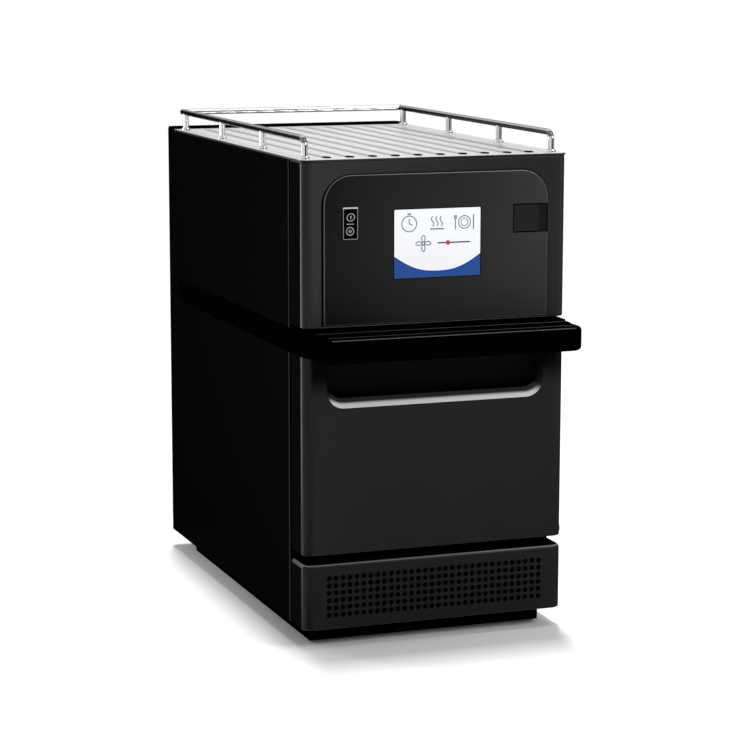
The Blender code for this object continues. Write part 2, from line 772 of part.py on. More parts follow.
def make_top_plate():
    plan = plan_with_round_front(HALF_WIDTH, WRAP_DEPTH - CLEARANCE, FRONT_CORNER)
    plate = piece("top_plate", prism("Z", plan, PLATE_UNDER, BODY_HEIGHT), "white_steel")
    rear = WRAP_DEPTH - GROOVE_REAR_INSET
    low = BODY_HEIGHT - GROOVE_DEPTH
    half = GROOVE_WIDTH / 2
    grooves = []
    drains = []
    for x in spread(GROOVE_COUNT, GROOVE_PITCH):
        valley = [(x - half, BODY_HEIGHT + OVERRUN), (x - half, BODY_HEIGHT), (x - half / 2, low),
                  (x + half / 2, low), (x + half, BODY_HEIGHT), (x + half, BODY_HEIGHT + OVERRUN)]
        grooves.append(prism("Y", valley, GROOVE_FRONT, rear))
        ends = (DRAIN_WIDTH / 2,) * 4
        hole = rounded(
            x - DRAIN_LENGTH / 2, x + DRAIN_LENGTH / 2, GROOVE_FRONT + DRAIN_WIDTH / 2,
            GROOVE_FRONT + DRAIN_WIDTH + DRAIN_WIDTH / 2, ends, SMALL_STEPS,
        )
        drains.append(prism("Z", hole, PLATE_UNDER - OVERRUN, BODY_HEIGHT + OVERRUN))
    cut(plate, *grooves)
    cut(plate, *drains)


def make_side_rails():
    """Each side rail rises from the plate in front, bends over and runs to the back."""
    bend_z = RAIL_Z - RAIL_BEND
    bend_y = RAIL_LEG_DEPTH + RAIL_BEND
    bend = arc((bend_y, bend_z), RAIL_BEND, pi, -pi / 2, BEND_STEPS)
    route = [(RAIL_LEG_DEPTH, PLATE_SEAT), *bend, (RAIL_REAR_DEPTH + ROD_RADIUS, RAIL_Z)]
    shape = rod([(RAIL_X, y, z) for y, z in route], ROD_RADIUS)
    shoulder = PLATE_SEAT + COLLAR_HEIGHT
    collar = bar("Z", (RAIL_X, RAIL_LEG_DEPTH), COLLAR_RADIUS, PLATE_SEAT, shoulder, ROD_SIDES)
    right = piece("rail_right", shape, "stainless")
    add(right, collar)
    left = piece("rail_left", mirrored(shape), "stainless")
    add(left, mirrored(collar))


def make_rear_rail():
    reach = RAIL_X - ROD_RADIUS - CLEARANCE
    shape = bar("X", (RAIL_REAR_DEPTH, RAIL_Z), ROD_RADIUS, -reach, reach, ROD_SIDES)
    piece("rail_rear", shape, "stainless")


def make_posts():
    top = RAIL_Z - ROD_RADIUS - CLEARANCE
    shoulder = PLATE_SEAT + COLLAR_HEIGHT
    profile = (
        (COLLAR_RADIUS, PLATE_SEAT), (COLLAR_RADIUS, shoulder), (ROD_RADIUS, shoulder), (ROD_RADIUS, top),
    )
    for index in range(POST_COUNT):
        y = POST_LAST_DEPTH - (POST_COUNT - 1 - index) * POST_PITCH
        for side, sign in SIDES:
            shape = turned("Z", (sign * RAIL_X, y), profile, ROD_SIDES)
            piece(f"rail_post_{side}_{index + 1}", shape, "stainless")


# Control fascia


def arch(grow, corner_steps=CORNER_STEPS * 2):
    """The panel's arched outline, grown on its sides and top."""
    corner = ARCH_CORNER + grow
    return rounded(
        -ARCH_HALF_WIDTH - grow, ARCH_HALF_WIDTH + grow, ARCH_LOW - grow, ARCH_TOP + grow,
        (0, 0, corner, corner), corner_steps,
    )


def make_fascia():
    """A moulded pan, open at the back, with a flared arched opening for the control panel."""
    shape = moulding(FRONT_END, FASCIA_LOW, ROOF_TOP, FRONT_EDGE, 0)
    fascia = piece("control_fascia", shape, "charcoal")
    cut(fascia, moulding_hollow(FRONT_END, FASCIA_LOW, ROOF_TOP))
    flare = ARCH_GROOVE + ARCH_FLARE
    opening = loft("Y", [
        (arch(flare), -OVERRUN), (arch(flare), 0), (arch(ARCH_GROOVE), ARCH_FLARE / 2),
        (arch(ARCH_GROOVE), FRONT_WALL + OVERRUN),
    ])
    cut(fascia, opening)


def make_control_panel():
    """A plateau with a bevelled rim on a wider flange that lies behind the fascia."""
    rim = loft("Y", [
        (arch(-ARCH_BEVEL), -ARCH_PROUD), (arch(0), ARCH_BEVEL - ARCH_PROUD), (arch(0), ARCH_BACK),
    ])
    panel = piece("control_panel", rim, "charcoal")
    wide = arch(ARCH_FLANGE)
    low = FASCIA_LOW + FRONT_WALL + CLEARANCE
    wide = [(x, max(z, low)) for x, z in wide]
    add(panel, prism("Y", wide, ARCH_FLANGE_FACE, ARCH_BACK))
    front = -ARCH_PROUD - OVERRUN
    back = ARCH_BACK + OVERRUN
    gap = CLEARANCE
    half = SCREEN_WIDTH / 2 + gap
    window = rounded(
        -half, half, SCREEN_LOW - gap, SCREEN_LOW + SCREEN_HEIGHT + gap, (SCREEN_CORNER + gap,) * 4,
        SMALL_STEPS,
    )
    holes = [prism("Y", window, front, back)]
    case_x = ROCKER_WIDTH / 2 + 2 * gap + ROCKER_CASE_WALL
    case_z = ROCKER_SWEEP + 2 * gap + ROCKER_CASE_WALL
    holes.append(block(ROCKER_CENTRE_X - case_x, ROCKER_CENTRE_X + case_x, front, back,
                       ROCKER_CENTRE_Z - case_z, ROCKER_CENTRE_Z + case_z))
    holes.append(block(USB_LEFT, ARCH_HALF_WIDTH + ARCH_GROOVE / 2, front, ARCH_FLANGE_FACE,
                       USB_LOW, USB_LOW + USB_HEIGHT))
    cut(panel, *holes)
    middle_x, middle_z = socket_centre()
    cut(panel, block(middle_x - SOCKET_WIDTH / 2, middle_x + SOCKET_WIDTH / 2, 0, back,
                     middle_z - SOCKET_HEIGHT / 2, middle_z + SOCKET_HEIGHT / 2))


def make_touch_screen():
    half = SCREEN_WIDTH / 2
    high = SCREEN_LOW + SCREEN_HEIGHT
    face = rounded(-half, half, SCREEN_LOW, high, (SCREEN_CORNER,) * 4, SMALL_STEPS)
    screen = piece(
        "touch_screen", prism("Y", face, SCREEN_SUNK - ARCH_PROUD, SCREEN_BACK), "screen_glass"
    )
    wide = half + SCREEN_CASE_LAP
    add(screen, block(-wide, wide, ARCH_BACK + CLEARANCE, SCREEN_BACK,
                      SCREEN_LOW - SCREEN_CASE_LAP, high + SCREEN_CASE_LAP))


def make_switch_housing():
    """A framed box through the panel, with a well for the rocker."""
    x, z = ROCKER_CENTRE_X, ROCKER_CENTRE_Z
    case_x = ROCKER_WIDTH / 2 + CLEARANCE + ROCKER_CASE_WALL
    case_z = ROCKER_SWEEP + CLEARANCE + ROCKER_CASE_WALL
    frame_x = ROCKER_WIDTH / 2 + ROCKER_BEZEL
    frame_z = ROCKER_SWEEP + ROCKER_BEZEL
    housing = piece(
        "switch_housing",
        block(x - frame_x, x + frame_x, BEZEL_FACE, BEZEL_BACK, z - frame_z, z + frame_z),
        "gloss_black",
    )
    add(housing, block(x - case_x, x + case_x, (BEZEL_FACE + BEZEL_BACK) / 2, ROCKER_CASE_DEPTH,
                       z - case_z, z + case_z))
    well_x = ROCKER_WIDTH / 2 + CLEARANCE
    well_z = ROCKER_SWEEP + CLEARANCE
    cut(housing, block(x - well_x, x + well_x, BEZEL_FACE - OVERRUN, ROCKER_WELL, z - well_z, z + well_z))


def make_rocker():
    """Two ends that keep to one circle about the pivot, with a shallow dish between them."""
    reach = ROCKER_SWEEP
    ear = ROCKER_EAR
    end = (reach ** 2 - ear ** 2) ** 0.5
    y = ROCKER_PIVOT_DEPTH
    z = ROCKER_CENTRE_Z
    shoulder = (reach ** 2 - (ear / 2) ** 2) ** 0.5
    upper = [(y - ear, z + end), (y - ear / 2, z + shoulder), (y, z + reach)]
    lower = [(y, z - reach), (y - ear / 2, z - shoulder), (y - ear, z - end)]
    section = upper + [(y + ROCKER_BACK, z)] + lower + [(y - ear + ROCKER_DISH, z)]
    half = ROCKER_WIDTH / 2
    rocker = piece(
        "power_rocker",
        prism("X", section, ROCKER_CENTRE_X - half, ROCKER_CENTRE_X + half),
        "charcoal",
        (ROCKER_CENTRE_X, y, z),
    )
    rocker.rotation_euler = (ROCKER_TILT, 0, 0)


def socket_centre():
    return FLAP_LEFT + FLAP_WIDTH / 2, USB_LOW + USB_HEIGHT / 2


def make_usb_socket():
    x, z = socket_centre()
    wide = SOCKET_WIDTH / 2 + SOCKET_WALL
    tall = SOCKET_HEIGHT / 2 + SOCKET_WALL
    front = ARCH_BACK + CLEARANCE
    shape = block(x - wide, x + wide, front, front + SOCKET_BODY_DEPTH, z - tall, z + tall)
    socket = piece("usb_socket", shape, "stainless")
    cut(socket, block(x - SOCKET_WIDTH / 2, x + SOCKET_WIDTH / 2, front - OVERRUN, front + SOCKET_DEPTH,
                      z - SOCKET_HEIGHT / 2, z + SOCKET_HEIGHT / 2))


def make_usb_flap():
    low = USB_LOW + FLAP_MARGIN
    high = USB_LOW + USB_HEIGHT - FLAP_MARGIN
    corners = (0, FLAP_CORNER, FLAP_CORNER, 0)
    face = rounded(FLAP_LEFT, FLAP_LEFT + FLAP_WIDTH, low, high, corners, SMALL_STEPS)
    piece("usb_flap", prism("Y", face, FLAP_FACE, FLAP_FACE + FLAP_THICKNESS), "gloss_black",
          (FLAP_AXIS_X, FLAP_AXIS_Y, (low + high) / 2))


# Door


def scoop_section(side, foot, corner):
    """The scoop's outline: open towards the handle, rounded at its two lower corners."""
    half = SCOOP_HALF_WIDTH + side
    return rounded(-half, half, SCOOP_LOW - foot, HANDLE_LOW + SCOOP_RISE, (corner, corner, 0, 0))


def arm_slot(sign, front, back):
    """The way for a hinge arm through the foot of the door."""
    x = sign * ARM_X
    half = ARM_THICKNESS / 2 + RUNNING_GAP
    return block(x - half, x + half, front, back, DOOR_LOW - OVERRUN, PIVOT_Z + ARM_RADIUS + RUNNING_GAP)


def make_door_shell():
    """The moulded outer door: a pan with rounded corners, a scoop pressed into it and hinge bosses."""
    pivot = (0, HINGE_DEPTH, PIVOT_Z)
    shape = moulding(DOOR_DEPTH, DOOR_LOW, DOOR_TOP, FRONT_EDGE, FRONT_EDGE)
    door = piece("door_shell", shape, "charcoal", pivot)
    cut(door, moulding_hollow(DOOR_DEPTH, DOOR_LOW, DOOR_TOP))
    wall = FRONT_WALL
    add(door, loft("Y", [
        (scoop_section(LIP_SIDE + wall, LIP_HEIGHT + wall, SCOOP_CORNER + LIP_SIDE + wall), wall / 2),
        (scoop_section(wall, wall, SCOOP_CORNER + wall), LIP_DEPTH + wall / 2),
        (scoop_section(wall, wall, SCOOP_CORNER + wall), SCOOP_DEPTH + wall),
    ]))
    boss_end = ARM_X + ARM_THICKNESS / 2 + HINGE_BOSS_GAP
    axis = (HINGE_DEPTH, PIVOT_Z)
    boss = bar("X", axis, HINGE_BOSS_RADIUS, boss_end, FRONT_HALF - FRONT_WALL / 2)
    add(door, boss, mirrored(boss))
    pocket = loft("Y", [
        (scoop_section(LIP_SIDE, LIP_HEIGHT, SCOOP_CORNER + LIP_SIDE), -OVERRUN),
        (scoop_section(LIP_SIDE, LIP_HEIGHT, SCOOP_CORNER + LIP_SIDE), 0),
        (scoop_section(0, 0, SCOOP_CORNER), LIP_DEPTH),
        (scoop_section(0, 0, SCOOP_CORNER), SCOOP_DEPTH),
    ])
    bore = bar("X", axis, PIN_RADIUS + CLEARANCE, boss_end - OVERRUN, PIN_FAR + CLEARANCE, SMALL_SIDES)
    cut(door, pocket, bore, mirrored(bore))
    arm_front = HINGE_DEPTH - ARM_RADIUS - RUNNING_GAP
    cut(door, *(arm_slot(sign, arm_front, DOOR_DEPTH + OVERRUN) for _, sign in SIDES))


def make_hinge_pins():
    start = ARM_X - ARM_THICKNESS / 2 - PIN_END
    shape = bar("X", (HINGE_DEPTH, PIVOT_Z), PIN_RADIUS, start, PIN_FAR, SMALL_SIDES)
    pivot = (0, HINGE_DEPTH, PIVOT_Z)
    piece("hinge_pin_right", shape, "stainless", pivot)
    piece("hinge_pin_left", mirrored(shape), "stainless", pivot)


def make_hinge_arms():
    """Arms fixed behind the bulkhead that reach forward through the door's foot to its pins."""
    axis = (HINGE_DEPTH, PIVOT_Z)
    tip = arc(axis, ARM_RADIUS, pi / 2, pi, CORNER_STEPS * 2)
    foot = BULKHEAD_BACK + CLEARANCE
    root = foot + ARM_FOOT_THICKNESS / 2
    section = [*tip, (root, PIVOT_Z - ARM_RADIUS), (root, PIVOT_Z + ARM_RADIUS)]
    half = ARM_THICKNESS / 2
    shape = prism("X", section, ARM_X - half, ARM_X + half)
    far = ARM_X + half + OVERRUN
    bore = bar("X", axis, PIN_RADIUS + CLEARANCE, ARM_X - half - OVERRUN, far, SMALL_SIDES)
    wide = ARM_FOOT_WIDTH / 2
    tall = ARM_FOOT_HEIGHT / 2
    back = foot + ARM_FOOT_THICKNESS
    plate = block(ARM_X - wide, ARM_X + wide, foot, back, PIVOT_Z - tall, PIVOT_Z + tall)
    right = piece("hinge_arm_right", shape, "stainless")
    add(right, plate)
    cut(right, bore)
    left = piece("hinge_arm_left", mirrored(shape), "stainless")
    add(left, mirrored(plate))
    cut(left, mirrored(bore))


def make_door_lining():
    """The steel inner sheet of the door, set into the shell, with a raised field over the cavity."""
    inner = FRONT_HALF - FRONT_WALL - CLEARANCE
    low = DOOR_LOW + FRONT_WALL + CLEARANCE
    high = DOOR_TOP - FRONT_WALL - CLEARANCE
    face = DOOR_DEPTH - SKIN
    lining = piece("door_lining", block(-inner, inner, face, DOOR_DEPTH, low, high), "stainless",
                   (0, HINGE_DEPTH, PIVOT_Z))
    half = CAVITY_HALF - LINING_MARGIN
    corners = (CAVITY_CORNER,) * 4
    field = rounded(-half, half, CAVITY_LOW + LINING_MARGIN, CAVITY_TOP - LINING_MARGIN, corners)
    add(lining, prism("Y", field, DOOR_DEPTH - SKIN / 2, DOOR_DEPTH + LINING_STEP))
    cut(lining, *(arm_slot(sign, face - OVERRUN, DOOR_DEPTH + OVERRUN) for _, sign in SIDES))


def make_door_seal():
    """A flat ring round the mouth of the cavity, narrower at the sides to clear the hinge arms."""
    near = SEAL_MARGIN - SEAL_WIDTH / 2
    far = SEAL_MARGIN + SEAL_WIDTH / 2
    half = CAVITY_HALF + near
    outer = rounded(-half, half, CAVITY_LOW - far, CAVITY_TOP + far, (CAVITY_CORNER + far,) * 4)
    inner = half - SEAL_WIDTH
    hole = rounded(-inner, inner, CAVITY_LOW - near, CAVITY_TOP + near, (CAVITY_CORNER,) * 4)
    front = DOOR_DEPTH + CLEARANCE
    seal = piece("door_seal", prism("Y", outer, front, FRONT_END), "silicone", (0, HINGE_DEPTH, PIVOT_Z))
    cut(seal, prism("Y", hole, front - OVERRUN, FRONT_END + OVERRUN))


def handle_section():
    """The handle across its length: a ledge against the door, a step down, and a rounded grip."""
    top = DOOR_TOP - HANDLE_STEP
    front = -HANDLE_REACH
    edge = HANDLE_EDGE
    upper = arc((front + edge, top - edge), edge, pi / 2, pi / 2, CORNER_STEPS)
    lower = arc((front + edge, HANDLE_LOW + edge), edge, pi, pi / 2, CORNER_STEPS)
    ledge = [(-CLEARANCE, DOOR_TOP), (-HANDLE_LEDGE, DOOR_TOP), (-HANDLE_LEDGE - HANDLE_STEP, top)]
    return [*ledge, *upper, *lower, (-CLEARANCE, HANDLE_LOW)]


def make_handle():
    """A bar as wide as the door, rounded at its front corners and hollow below for the fingers."""
    shape = prism("X", handle_section(), -FRONT_HALF, FRONT_HALF)
    handle = piece("door_handle", shape, "gloss_black", (0, HINGE_DEPTH, PIVOT_Z))
    corner = HANDLE_CORNER
    corners = (corner, corner, 0, 0)
    plan = rounded(-FRONT_HALF, FRONT_HALF, -HANDLE_REACH, OVERRUN, corners, CORNER_STEPS * 2)
    shaped(handle, "INTERSECT", prism("Z", plan, HANDLE_LOW - OVERRUN, DOOR_TOP + OVERRUN))
    half = FRONT_HALF - GRIP_CHEEK
    front = GRIP_DEPTH - HANDLE_REACH
    cut(handle, block(-half, half, front, OVERRUN, HANDLE_LOW - OVERRUN, DOOR_TOP - GRIP_ROOF))


def make_door_latch():
    """The tongue that works the interlock when the door is shut."""
    z = LATCH_Z
    start = DOOR_DEPTH + CLEARANCE
    foot = LATCH_PLATE / 2
    plate = block(LATCH_X - foot, LATCH_X + foot, start, start + SKIN, z - LATCH_HEIGHT, z + LATCH_HEIGHT)
    latch = piece("door_latch", plate, "stainless", (0, HINGE_DEPTH, PIVOT_Z))
    half = LATCH_WIDTH / 2
    tall = LATCH_HEIGHT / 2
    tongue = block(LATCH_X - half, LATCH_X + half, start + SKIN / 2, start + LATCH_REACH, z - tall, z + tall)
    add(latch, tongue)


def make_interlock_switch():
    """A box behind the bulkhead with a mouth for the latch."""
    z = LATCH_Z
    front = BULKHEAD_BACK + CLEARANCE
    half = SWITCH_BODY_WIDTH / 2
    tall = SWITCH_BODY_HEIGHT / 2
    switch = piece(
        "interlock_switch",
        block(LATCH_X - half, LATCH_X + half, front, front + SWITCH_BODY_DEPTH, z - tall, z + tall),
        "gloss_black",
    )
    wide = LATCH_WIDTH / 2 + LATCH_PLAY
    high = LATCH_HEIGHT / 2 + LATCH_PLAY
    depth = DOOR_DEPTH + LATCH_REACH + LATCH_PLAY
    cut(switch, block(LATCH_X - wide, LATCH_X + wide, front - OVERRUN, depth, z - high, z + high))


# Air filter panel


def make_filter_panel():
    """A moulded pan with a field of round perforations in its face."""
    shape = moulding(FRONT_END, 0, FILTER_HEIGHT, FRONT_EDGE, FILTER_TOP_EDGE)
    panel = piece("air_filter_panel", shape, "charcoal")
    cut(panel, moulding_hollow(FRONT_END, 0, FILTER_HEIGHT))
    holes = [
        bar("Y", (x, FILTER_HEIGHT / 2 + z), HOLE_RADIUS, -OVERRUN, FRONT_WALL + OVERRUN, TINY_SIDES)
        for x in spread(HOLE_COLUMNS, HOLE_COLUMN_PITCH)
        for z in spread(HOLE_ROWS, HOLE_ROW_PITCH)
    ]
    cut(panel, *holes)


def make_filter_mesh():
    """The flat filter behind the perforations, held between the panel's floor and roof."""
    seat = FRONT_WALL + CLEARANCE
    half = HOLE_FIELD_HALF + MESH_MARGIN
    mesh = block(-half, half, seat, seat + MESH_THICKNESS, seat, FILTER_HEIGHT - seat)
    piece("filter_mesh", mesh, "filter_mesh")


# Cooking cavity


def ledges(z, reach):
    """A pair of side ledges whose upper faces are at this height."""
    front = LINER_FRONT + LEDGE_FRONT
    back = LINER_BACK - SKIN / 2
    right = block(CAVITY_HALF - reach, CAVITY_HALF + SKIN / 2, front, back, z - LEDGE_THICKNESS, z)
    return mirrored(right), right


def make_cavity_liner():
    """A rounded box open to the front, with ledges, an air intake and ports in its roof."""
    half = CAVITY_HALF + SKIN
    outer = rounded(-half, half, CAVITY_LOW - SKIN, CAVITY_TOP + SKIN, (CAVITY_CORNER + SKIN,) * 4)
    inner = rounded(-CAVITY_HALF, CAVITY_HALF, CAVITY_LOW, CAVITY_TOP, (CAVITY_CORNER,) * 4)
    liner = piece("cavity_liner", prism("Y", outer, LINER_FRONT, LINER_BACK), "stainless")
    cut(liner, prism("Y", inner, LINER_FRONT - OVERRUN, LINER_BACK - SKIN))
    add(liner, *ledges(LEDGE_TOP, LEDGE_REACH), *ledges(CEILING_LEDGE, LEDGE_REACH))
    ports = [
        block(x - INTAKE_WIDTH / 2, x + INTAKE_WIDTH / 2, LINER_BACK - SKIN - OVERRUN, LINER_BACK + OVERRUN,
              CAVITY_MIDDLE - INTAKE_HEIGHT / 2, CAVITY_MIDDLE + INTAKE_HEIGHT / 2)
        for x in spread(INTAKE_COUNT, INTAKE_PITCH)
    ]
    low = CAVITY_TOP - OVERRUN
    high = CAVITY_TOP + SKIN + OVERRUN
    shaft = STIRRER_SHAFT_RADIUS + CLEARANCE
    ports.append(bar("Z", (STIRRER_X, STIRRER_DEPTH), shaft, low, high, SMALL_SIDES))
    window = GUIDE_WINDOW / 2
    middle = GUIDE_FRONT + GUIDE_LENGTH / 2
    ports.append(block(GUIDE_X - window, GUIDE_X + window, middle - window, middle + window, low, high))
    cut(liner, *ports)


def make_cook_plate():
    """A shallow tray that rests on the lower ledges."""
    half = CAVITY_HALF - COOK_PLATE_SIDE_GAP
    front = LINER_FRONT + COOK_PLATE_FRONT
    back = LINER_BACK - SKIN - COOK_PLATE_SIDE_GAP
    low = LEDGE_TOP + CLEARANCE
    wall = COOK_PLATE_WALL
    top = low + COOK_PLATE_RIM
    outer = rounded(-half, half, front, back, (COOK_PLATE_CORNER,) * 4)
    tray = piece("cook_plate", prism("Z", outer, low, top), "cast_aluminium", (0, (front + back) / 2, low))
    inner = rounded(wall - half, half - wall, front + wall, back - wall, (COOK_PLATE_CORNER - wall,) * 4)
    cut(tray, prism("Z", inner, low + wall, top + OVERRUN))


def make_jet_plate():
    """The ceiling plate on the upper ledges, whose holes blow the hot air down."""
    half = CAVITY_HALF - COOK_PLATE_SIDE_GAP
    front = LINER_FRONT + COOK_PLATE_FRONT
    back = LINER_BACK - SKIN - CLEARANCE
    low = CEILING_LEDGE + CLEARANCE
    plate = piece("jet_plate", block(-half, half, front, back, low, low + SKIN), "stainless")
    middle = (front + back) / 2
    cut(plate, *(
        bar("Z", (x, middle + y), JET_RADIUS, low - OVERRUN, low + SKIN + OVERRUN, TINY_SIDES)
        for x in spread(JET_COLUMNS, JET_PITCH)
        for y in spread(JET_ROWS, JET_PITCH)
    ))


# Hot air


def make_plenum():
    half = CAVITY_HALF - PLENUM_SIDE_MARGIN
    low = CAVITY_MIDDLE - PLENUM_HEIGHT / 2
    high = CAVITY_MIDDLE + PLENUM_HEIGHT / 2
    plenum = piece("hot_air_plenum", block(-half, half, PLENUM_FRONT, PLENUM_BACK, low, high), "stainless")
    inner = half - SKIN
    wall = PLENUM_BACK - SKIN
    cut(plenum, block(-inner, inner, PLENUM_FRONT - OVERRUN, wall, low + SKIN, high - SKIN))
    start = wall - OVERRUN
    end = PLENUM_BACK + OVERRUN
    holes = [bar("Y", (0, CAVITY_MIDDLE), SHAFT_RADIUS + RUNNING_GAP, start, end, SMALL_SIDES)]
    holes += [bar("Y", foot, HEATER_ROD + CLEARANCE, start, end, SMALL_SIDES) for foot in heater_feet()]
    cut(plenum, *holes)


def heater_feet():
    """The two places where the heating element leaves through the plenum's back."""
    angles = (-pi / 2 - HEATER_LEG_ANGLE, -pi / 2 + HEATER_LEG_ANGLE)
    return [(HEATER_RADIUS * cos(a), CAVITY_MIDDLE + HEATER_RADIUS * sin(a)) for a in angles]


def make_heating_element():
    """One turn of sheathed rod round the fan, with both ends led out at the back."""
    y = PLENUM_FRONT + HEATER_FRONT_GAP
    turn = tau - 2 * HEATER_LEG_ANGLE
    ring = arc((0, CAVITY_MIDDLE), HEATER_RADIUS, -pi / 2 + HEATER_LEG_ANGLE, turn, ROUND_SIDES)
    shape = rod([(x, y, z) for x, z in ring], HEATER_ROD, TINY_SIDES)
    element = piece("heating_element", shape, "heater_sheath")
    for foot in heater_feet():
        add(element, bar("Y", foot, HEATER_ROD, y - HEATER_ROD, PLENUM_BACK + HEATER_TAIL, SMALL_SIDES))


def make_convection_fan():
    """A disc with straight radial blades towards the cavity, on a shaft into the motor."""
    centre = (0, CAVITY_MIDDLE)
    disc_back = PLENUM_BACK - SKIN - WHEEL_REAR_GAP
    disc_front = disc_back - WHEEL_DISC
    blade_front = disc_front - BLADE_DEPTH
    shaft_end = MOTOR_FRONT + SHAFT_GRIP - CLEARANCE
    profile = (
        (WHEEL_HUB_RADIUS, blade_front), (WHEEL_HUB_RADIUS, disc_front), (WHEEL_RADIUS, disc_front),
        (WHEEL_RADIUS, disc_back), (SHAFT_RADIUS, disc_back), (SHAFT_RADIUS, shaft_end),
    )
    wheel = piece("convection_fan", turned("Y", centre, profile), "stainless", (0, disc_back, CAVITY_MIDDLE))
    half = BLADE_THICKNESS / 2
    blades = []
    for index in range(WHEEL_BLADES):
        angle = tau * index / WHEEL_BLADES
        corners = rectangle(WHEEL_HUB_RADIUS / 2, WHEEL_RADIUS, -half, half)
        outline = [turned_point(u, v, angle, centre) for u, v in corners]
        blades.append(prism("Y", outline, blade_front, disc_front + WHEEL_DISC / 2))
    add(wheel, *blades)


def turned_point(u, v, angle, centre):
    return centre[0] + u * cos(angle) - v * sin(angle), centre[1] + u * sin(angle) + v * cos(angle)


def make_fan_motor():
    centre = (0, CAVITY_MIDDLE)
    back = MOTOR_FRONT + MOTOR_DEPTH
    profile = (
        (MOTOR_FOOT_RADIUS, MOTOR_FRONT), (MOTOR_FOOT_RADIUS, MOTOR_FRONT + MOTOR_FOOT_DEPTH),
        (MOTOR_RADIUS, MOTOR_FRONT + MOTOR_FOOT_DEPTH), (MOTOR_RADIUS, back - MOTOR_FOOT_DEPTH),
        (MOTOR_RADIUS - MOTOR_FOOT_DEPTH, back),
    )
    motor = piece("fan_motor", turned("Y", centre, profile), "cast_aluminium")
    bore = SHAFT_RADIUS + CLEARANCE
    cut(motor, bar("Y", centre, bore, MOTOR_FRONT - OVERRUN, MOTOR_FRONT + SHAFT_GRIP, SMALL_SIDES))


# Microwave supply


def make_stirrer():
    """Three blades under the cavity's roof that spread the microwaves."""
    centre = (STIRRER_X, STIRRER_DEPTH)
    low = CEILING_LEDGE + CLEARANCE + SKIN + RUNNING_GAP
    blade_low = (low + CAVITY_TOP) / 2
    hub_top = CAVITY_TOP - RUNNING_GAP
    shaft_top = LINER_ROOF + STIRRER_GRIP - CLEARANCE
    profile = (
        (STIRRER_HUB_RADIUS, blade_low), (STIRRER_HUB_RADIUS, hub_top),
        (STIRRER_SHAFT_RADIUS, hub_top), (STIRRER_SHAFT_RADIUS, shaft_top),
    )
    stirrer = piece("mode_stirrer", turned("Z", centre, profile, SMALL_SIDES), "stainless",
                    (STIRRER_X, STIRRER_DEPTH, blade_low))
    half = STIRRER_BLADE_WIDTH / 2
    for index in range(STIRRER_BLADES):
        angle = tau * index / STIRRER_BLADES
        corners = rectangle(0, STIRRER_RADIUS, -half, half)
        outline = [turned_point(u, v, angle, centre) for u, v in corners]
        add(stirrer, prism("Z", outline, blade_low + STIRRER_BLADE_THICKNESS / 2,
                           blade_low + STIRRER_BLADE_THICKNESS + STIRRER_BLADE_THICKNESS / 2))


def make_stirrer_motor():
    centre = (STIRRER_X, STIRRER_DEPTH)
    case = bar("Z", centre, STIRRER_MOTOR_RADIUS, LINER_ROOF, LINER_ROOF + STIRRER_MOTOR_HEIGHT)
    motor = piece("stirrer_motor", case, "cast_aluminium")
    bore = STIRRER_SHAFT_RADIUS + CLEARANCE
    cut(motor, bar("Z", centre, bore, LINER_ROOF - OVERRUN, LINER_ROOF + STIRRER_GRIP, SMALL_SIDES))


def make_waveguide():
    """A duct, open below, that leads from the magnetron to the window in the cavity's roof."""
    left = GUIDE_X - GUIDE_WIDTH / 2
    right = GUIDE_X + GUIDE_WIDTH / 2
    back = GUIDE_FRONT + GUIDE_LENGTH
    top = LINER_ROOF + GUIDE_HEIGHT
    guide = piece("waveguide", block(left, right, GUIDE_FRONT, back, LINER_ROOF, top), "stainless")
    front = GUIDE_FRONT + SKIN
    cut(guide, block(left + SKIN, right - SKIN, front, back - SKIN, LINER_ROOF - OVERRUN, top - SKIN))


def make_magnetron():
    """A cooled tube: cooling fins round a core, held in a yoke."""
    low = LINER_ROOF + GUIDE_HEIGHT + CLEARANCE
    high = low + MAGNETRON_HEIGHT
    left = GUIDE_X - MAGNETRON_WIDTH / 2
    right = GUIDE_X + MAGNETRON_WIDTH / 2
    front = GUIDE_FRONT + MAGNETRON_INSET
    back = front + MAGNETRON_LENGTH
    tube = piece("magnetron", block(left, right, front, back, low, high), "cast_aluminium")
    yoke = MAGNETRON_YOKE
    cut(tube, block(left + yoke, right - yoke, front - OVERRUN, back + OVERRUN, low + yoke, high - yoke))
    middle = (GUIDE_X, (front + back) / 2)
    add(tube, bar("Z", middle, MAGNETRON_CORE, low + yoke / 2, high - yoke / 2, SMALL_SIDES))
    step = (high - low) / (MAGNETRON_FINS + 1)
    for index in range(MAGNETRON_FINS):
        z = low + step * (index + 1)
        add(tube, block(left + yoke / 2, right - yoke / 2, front + yoke, back - yoke, z, z + MAGNETRON_FIN))


# Power supply and cooling


def make_transformer():
    """A laminated core with its coil bulging out in front and behind."""
    half = CORE_WIDTH / 2
    front = CORE_DEPTH - CORE_LENGTH / 2
    back = CORE_DEPTH + CORE_LENGTH / 2
    stack = block(CORE_X - half, CORE_X + half, front, back, DECK, DECK + CORE_HEIGHT)
    core = piece("hv_transformer", stack, "laminations")
    inner = half - COIL_SHORT
    coil = rounded(CORE_X - inner, CORE_X + inner, front - COIL_BULGE, back + COIL_BULGE, (COIL_BULGE,) * 4)
    add(core, prism("Z", coil, DECK + COIL_SHORT, DECK + CORE_HEIGHT - COIL_SHORT))


def make_capacitor():
    half = CAPACITOR_WIDTH / 2
    deep = CAPACITOR_LENGTH / 2
    front = CAPACITOR_DEPTH - deep
    can = rounded(CAPACITOR_X - half, CAPACITOR_X + half, front, CAPACITOR_DEPTH + deep, (deep,) * 4)
    piece("hv_capacitor", prism("Z", can, DECK, DECK + CAPACITOR_HEIGHT), "cast_aluminium")


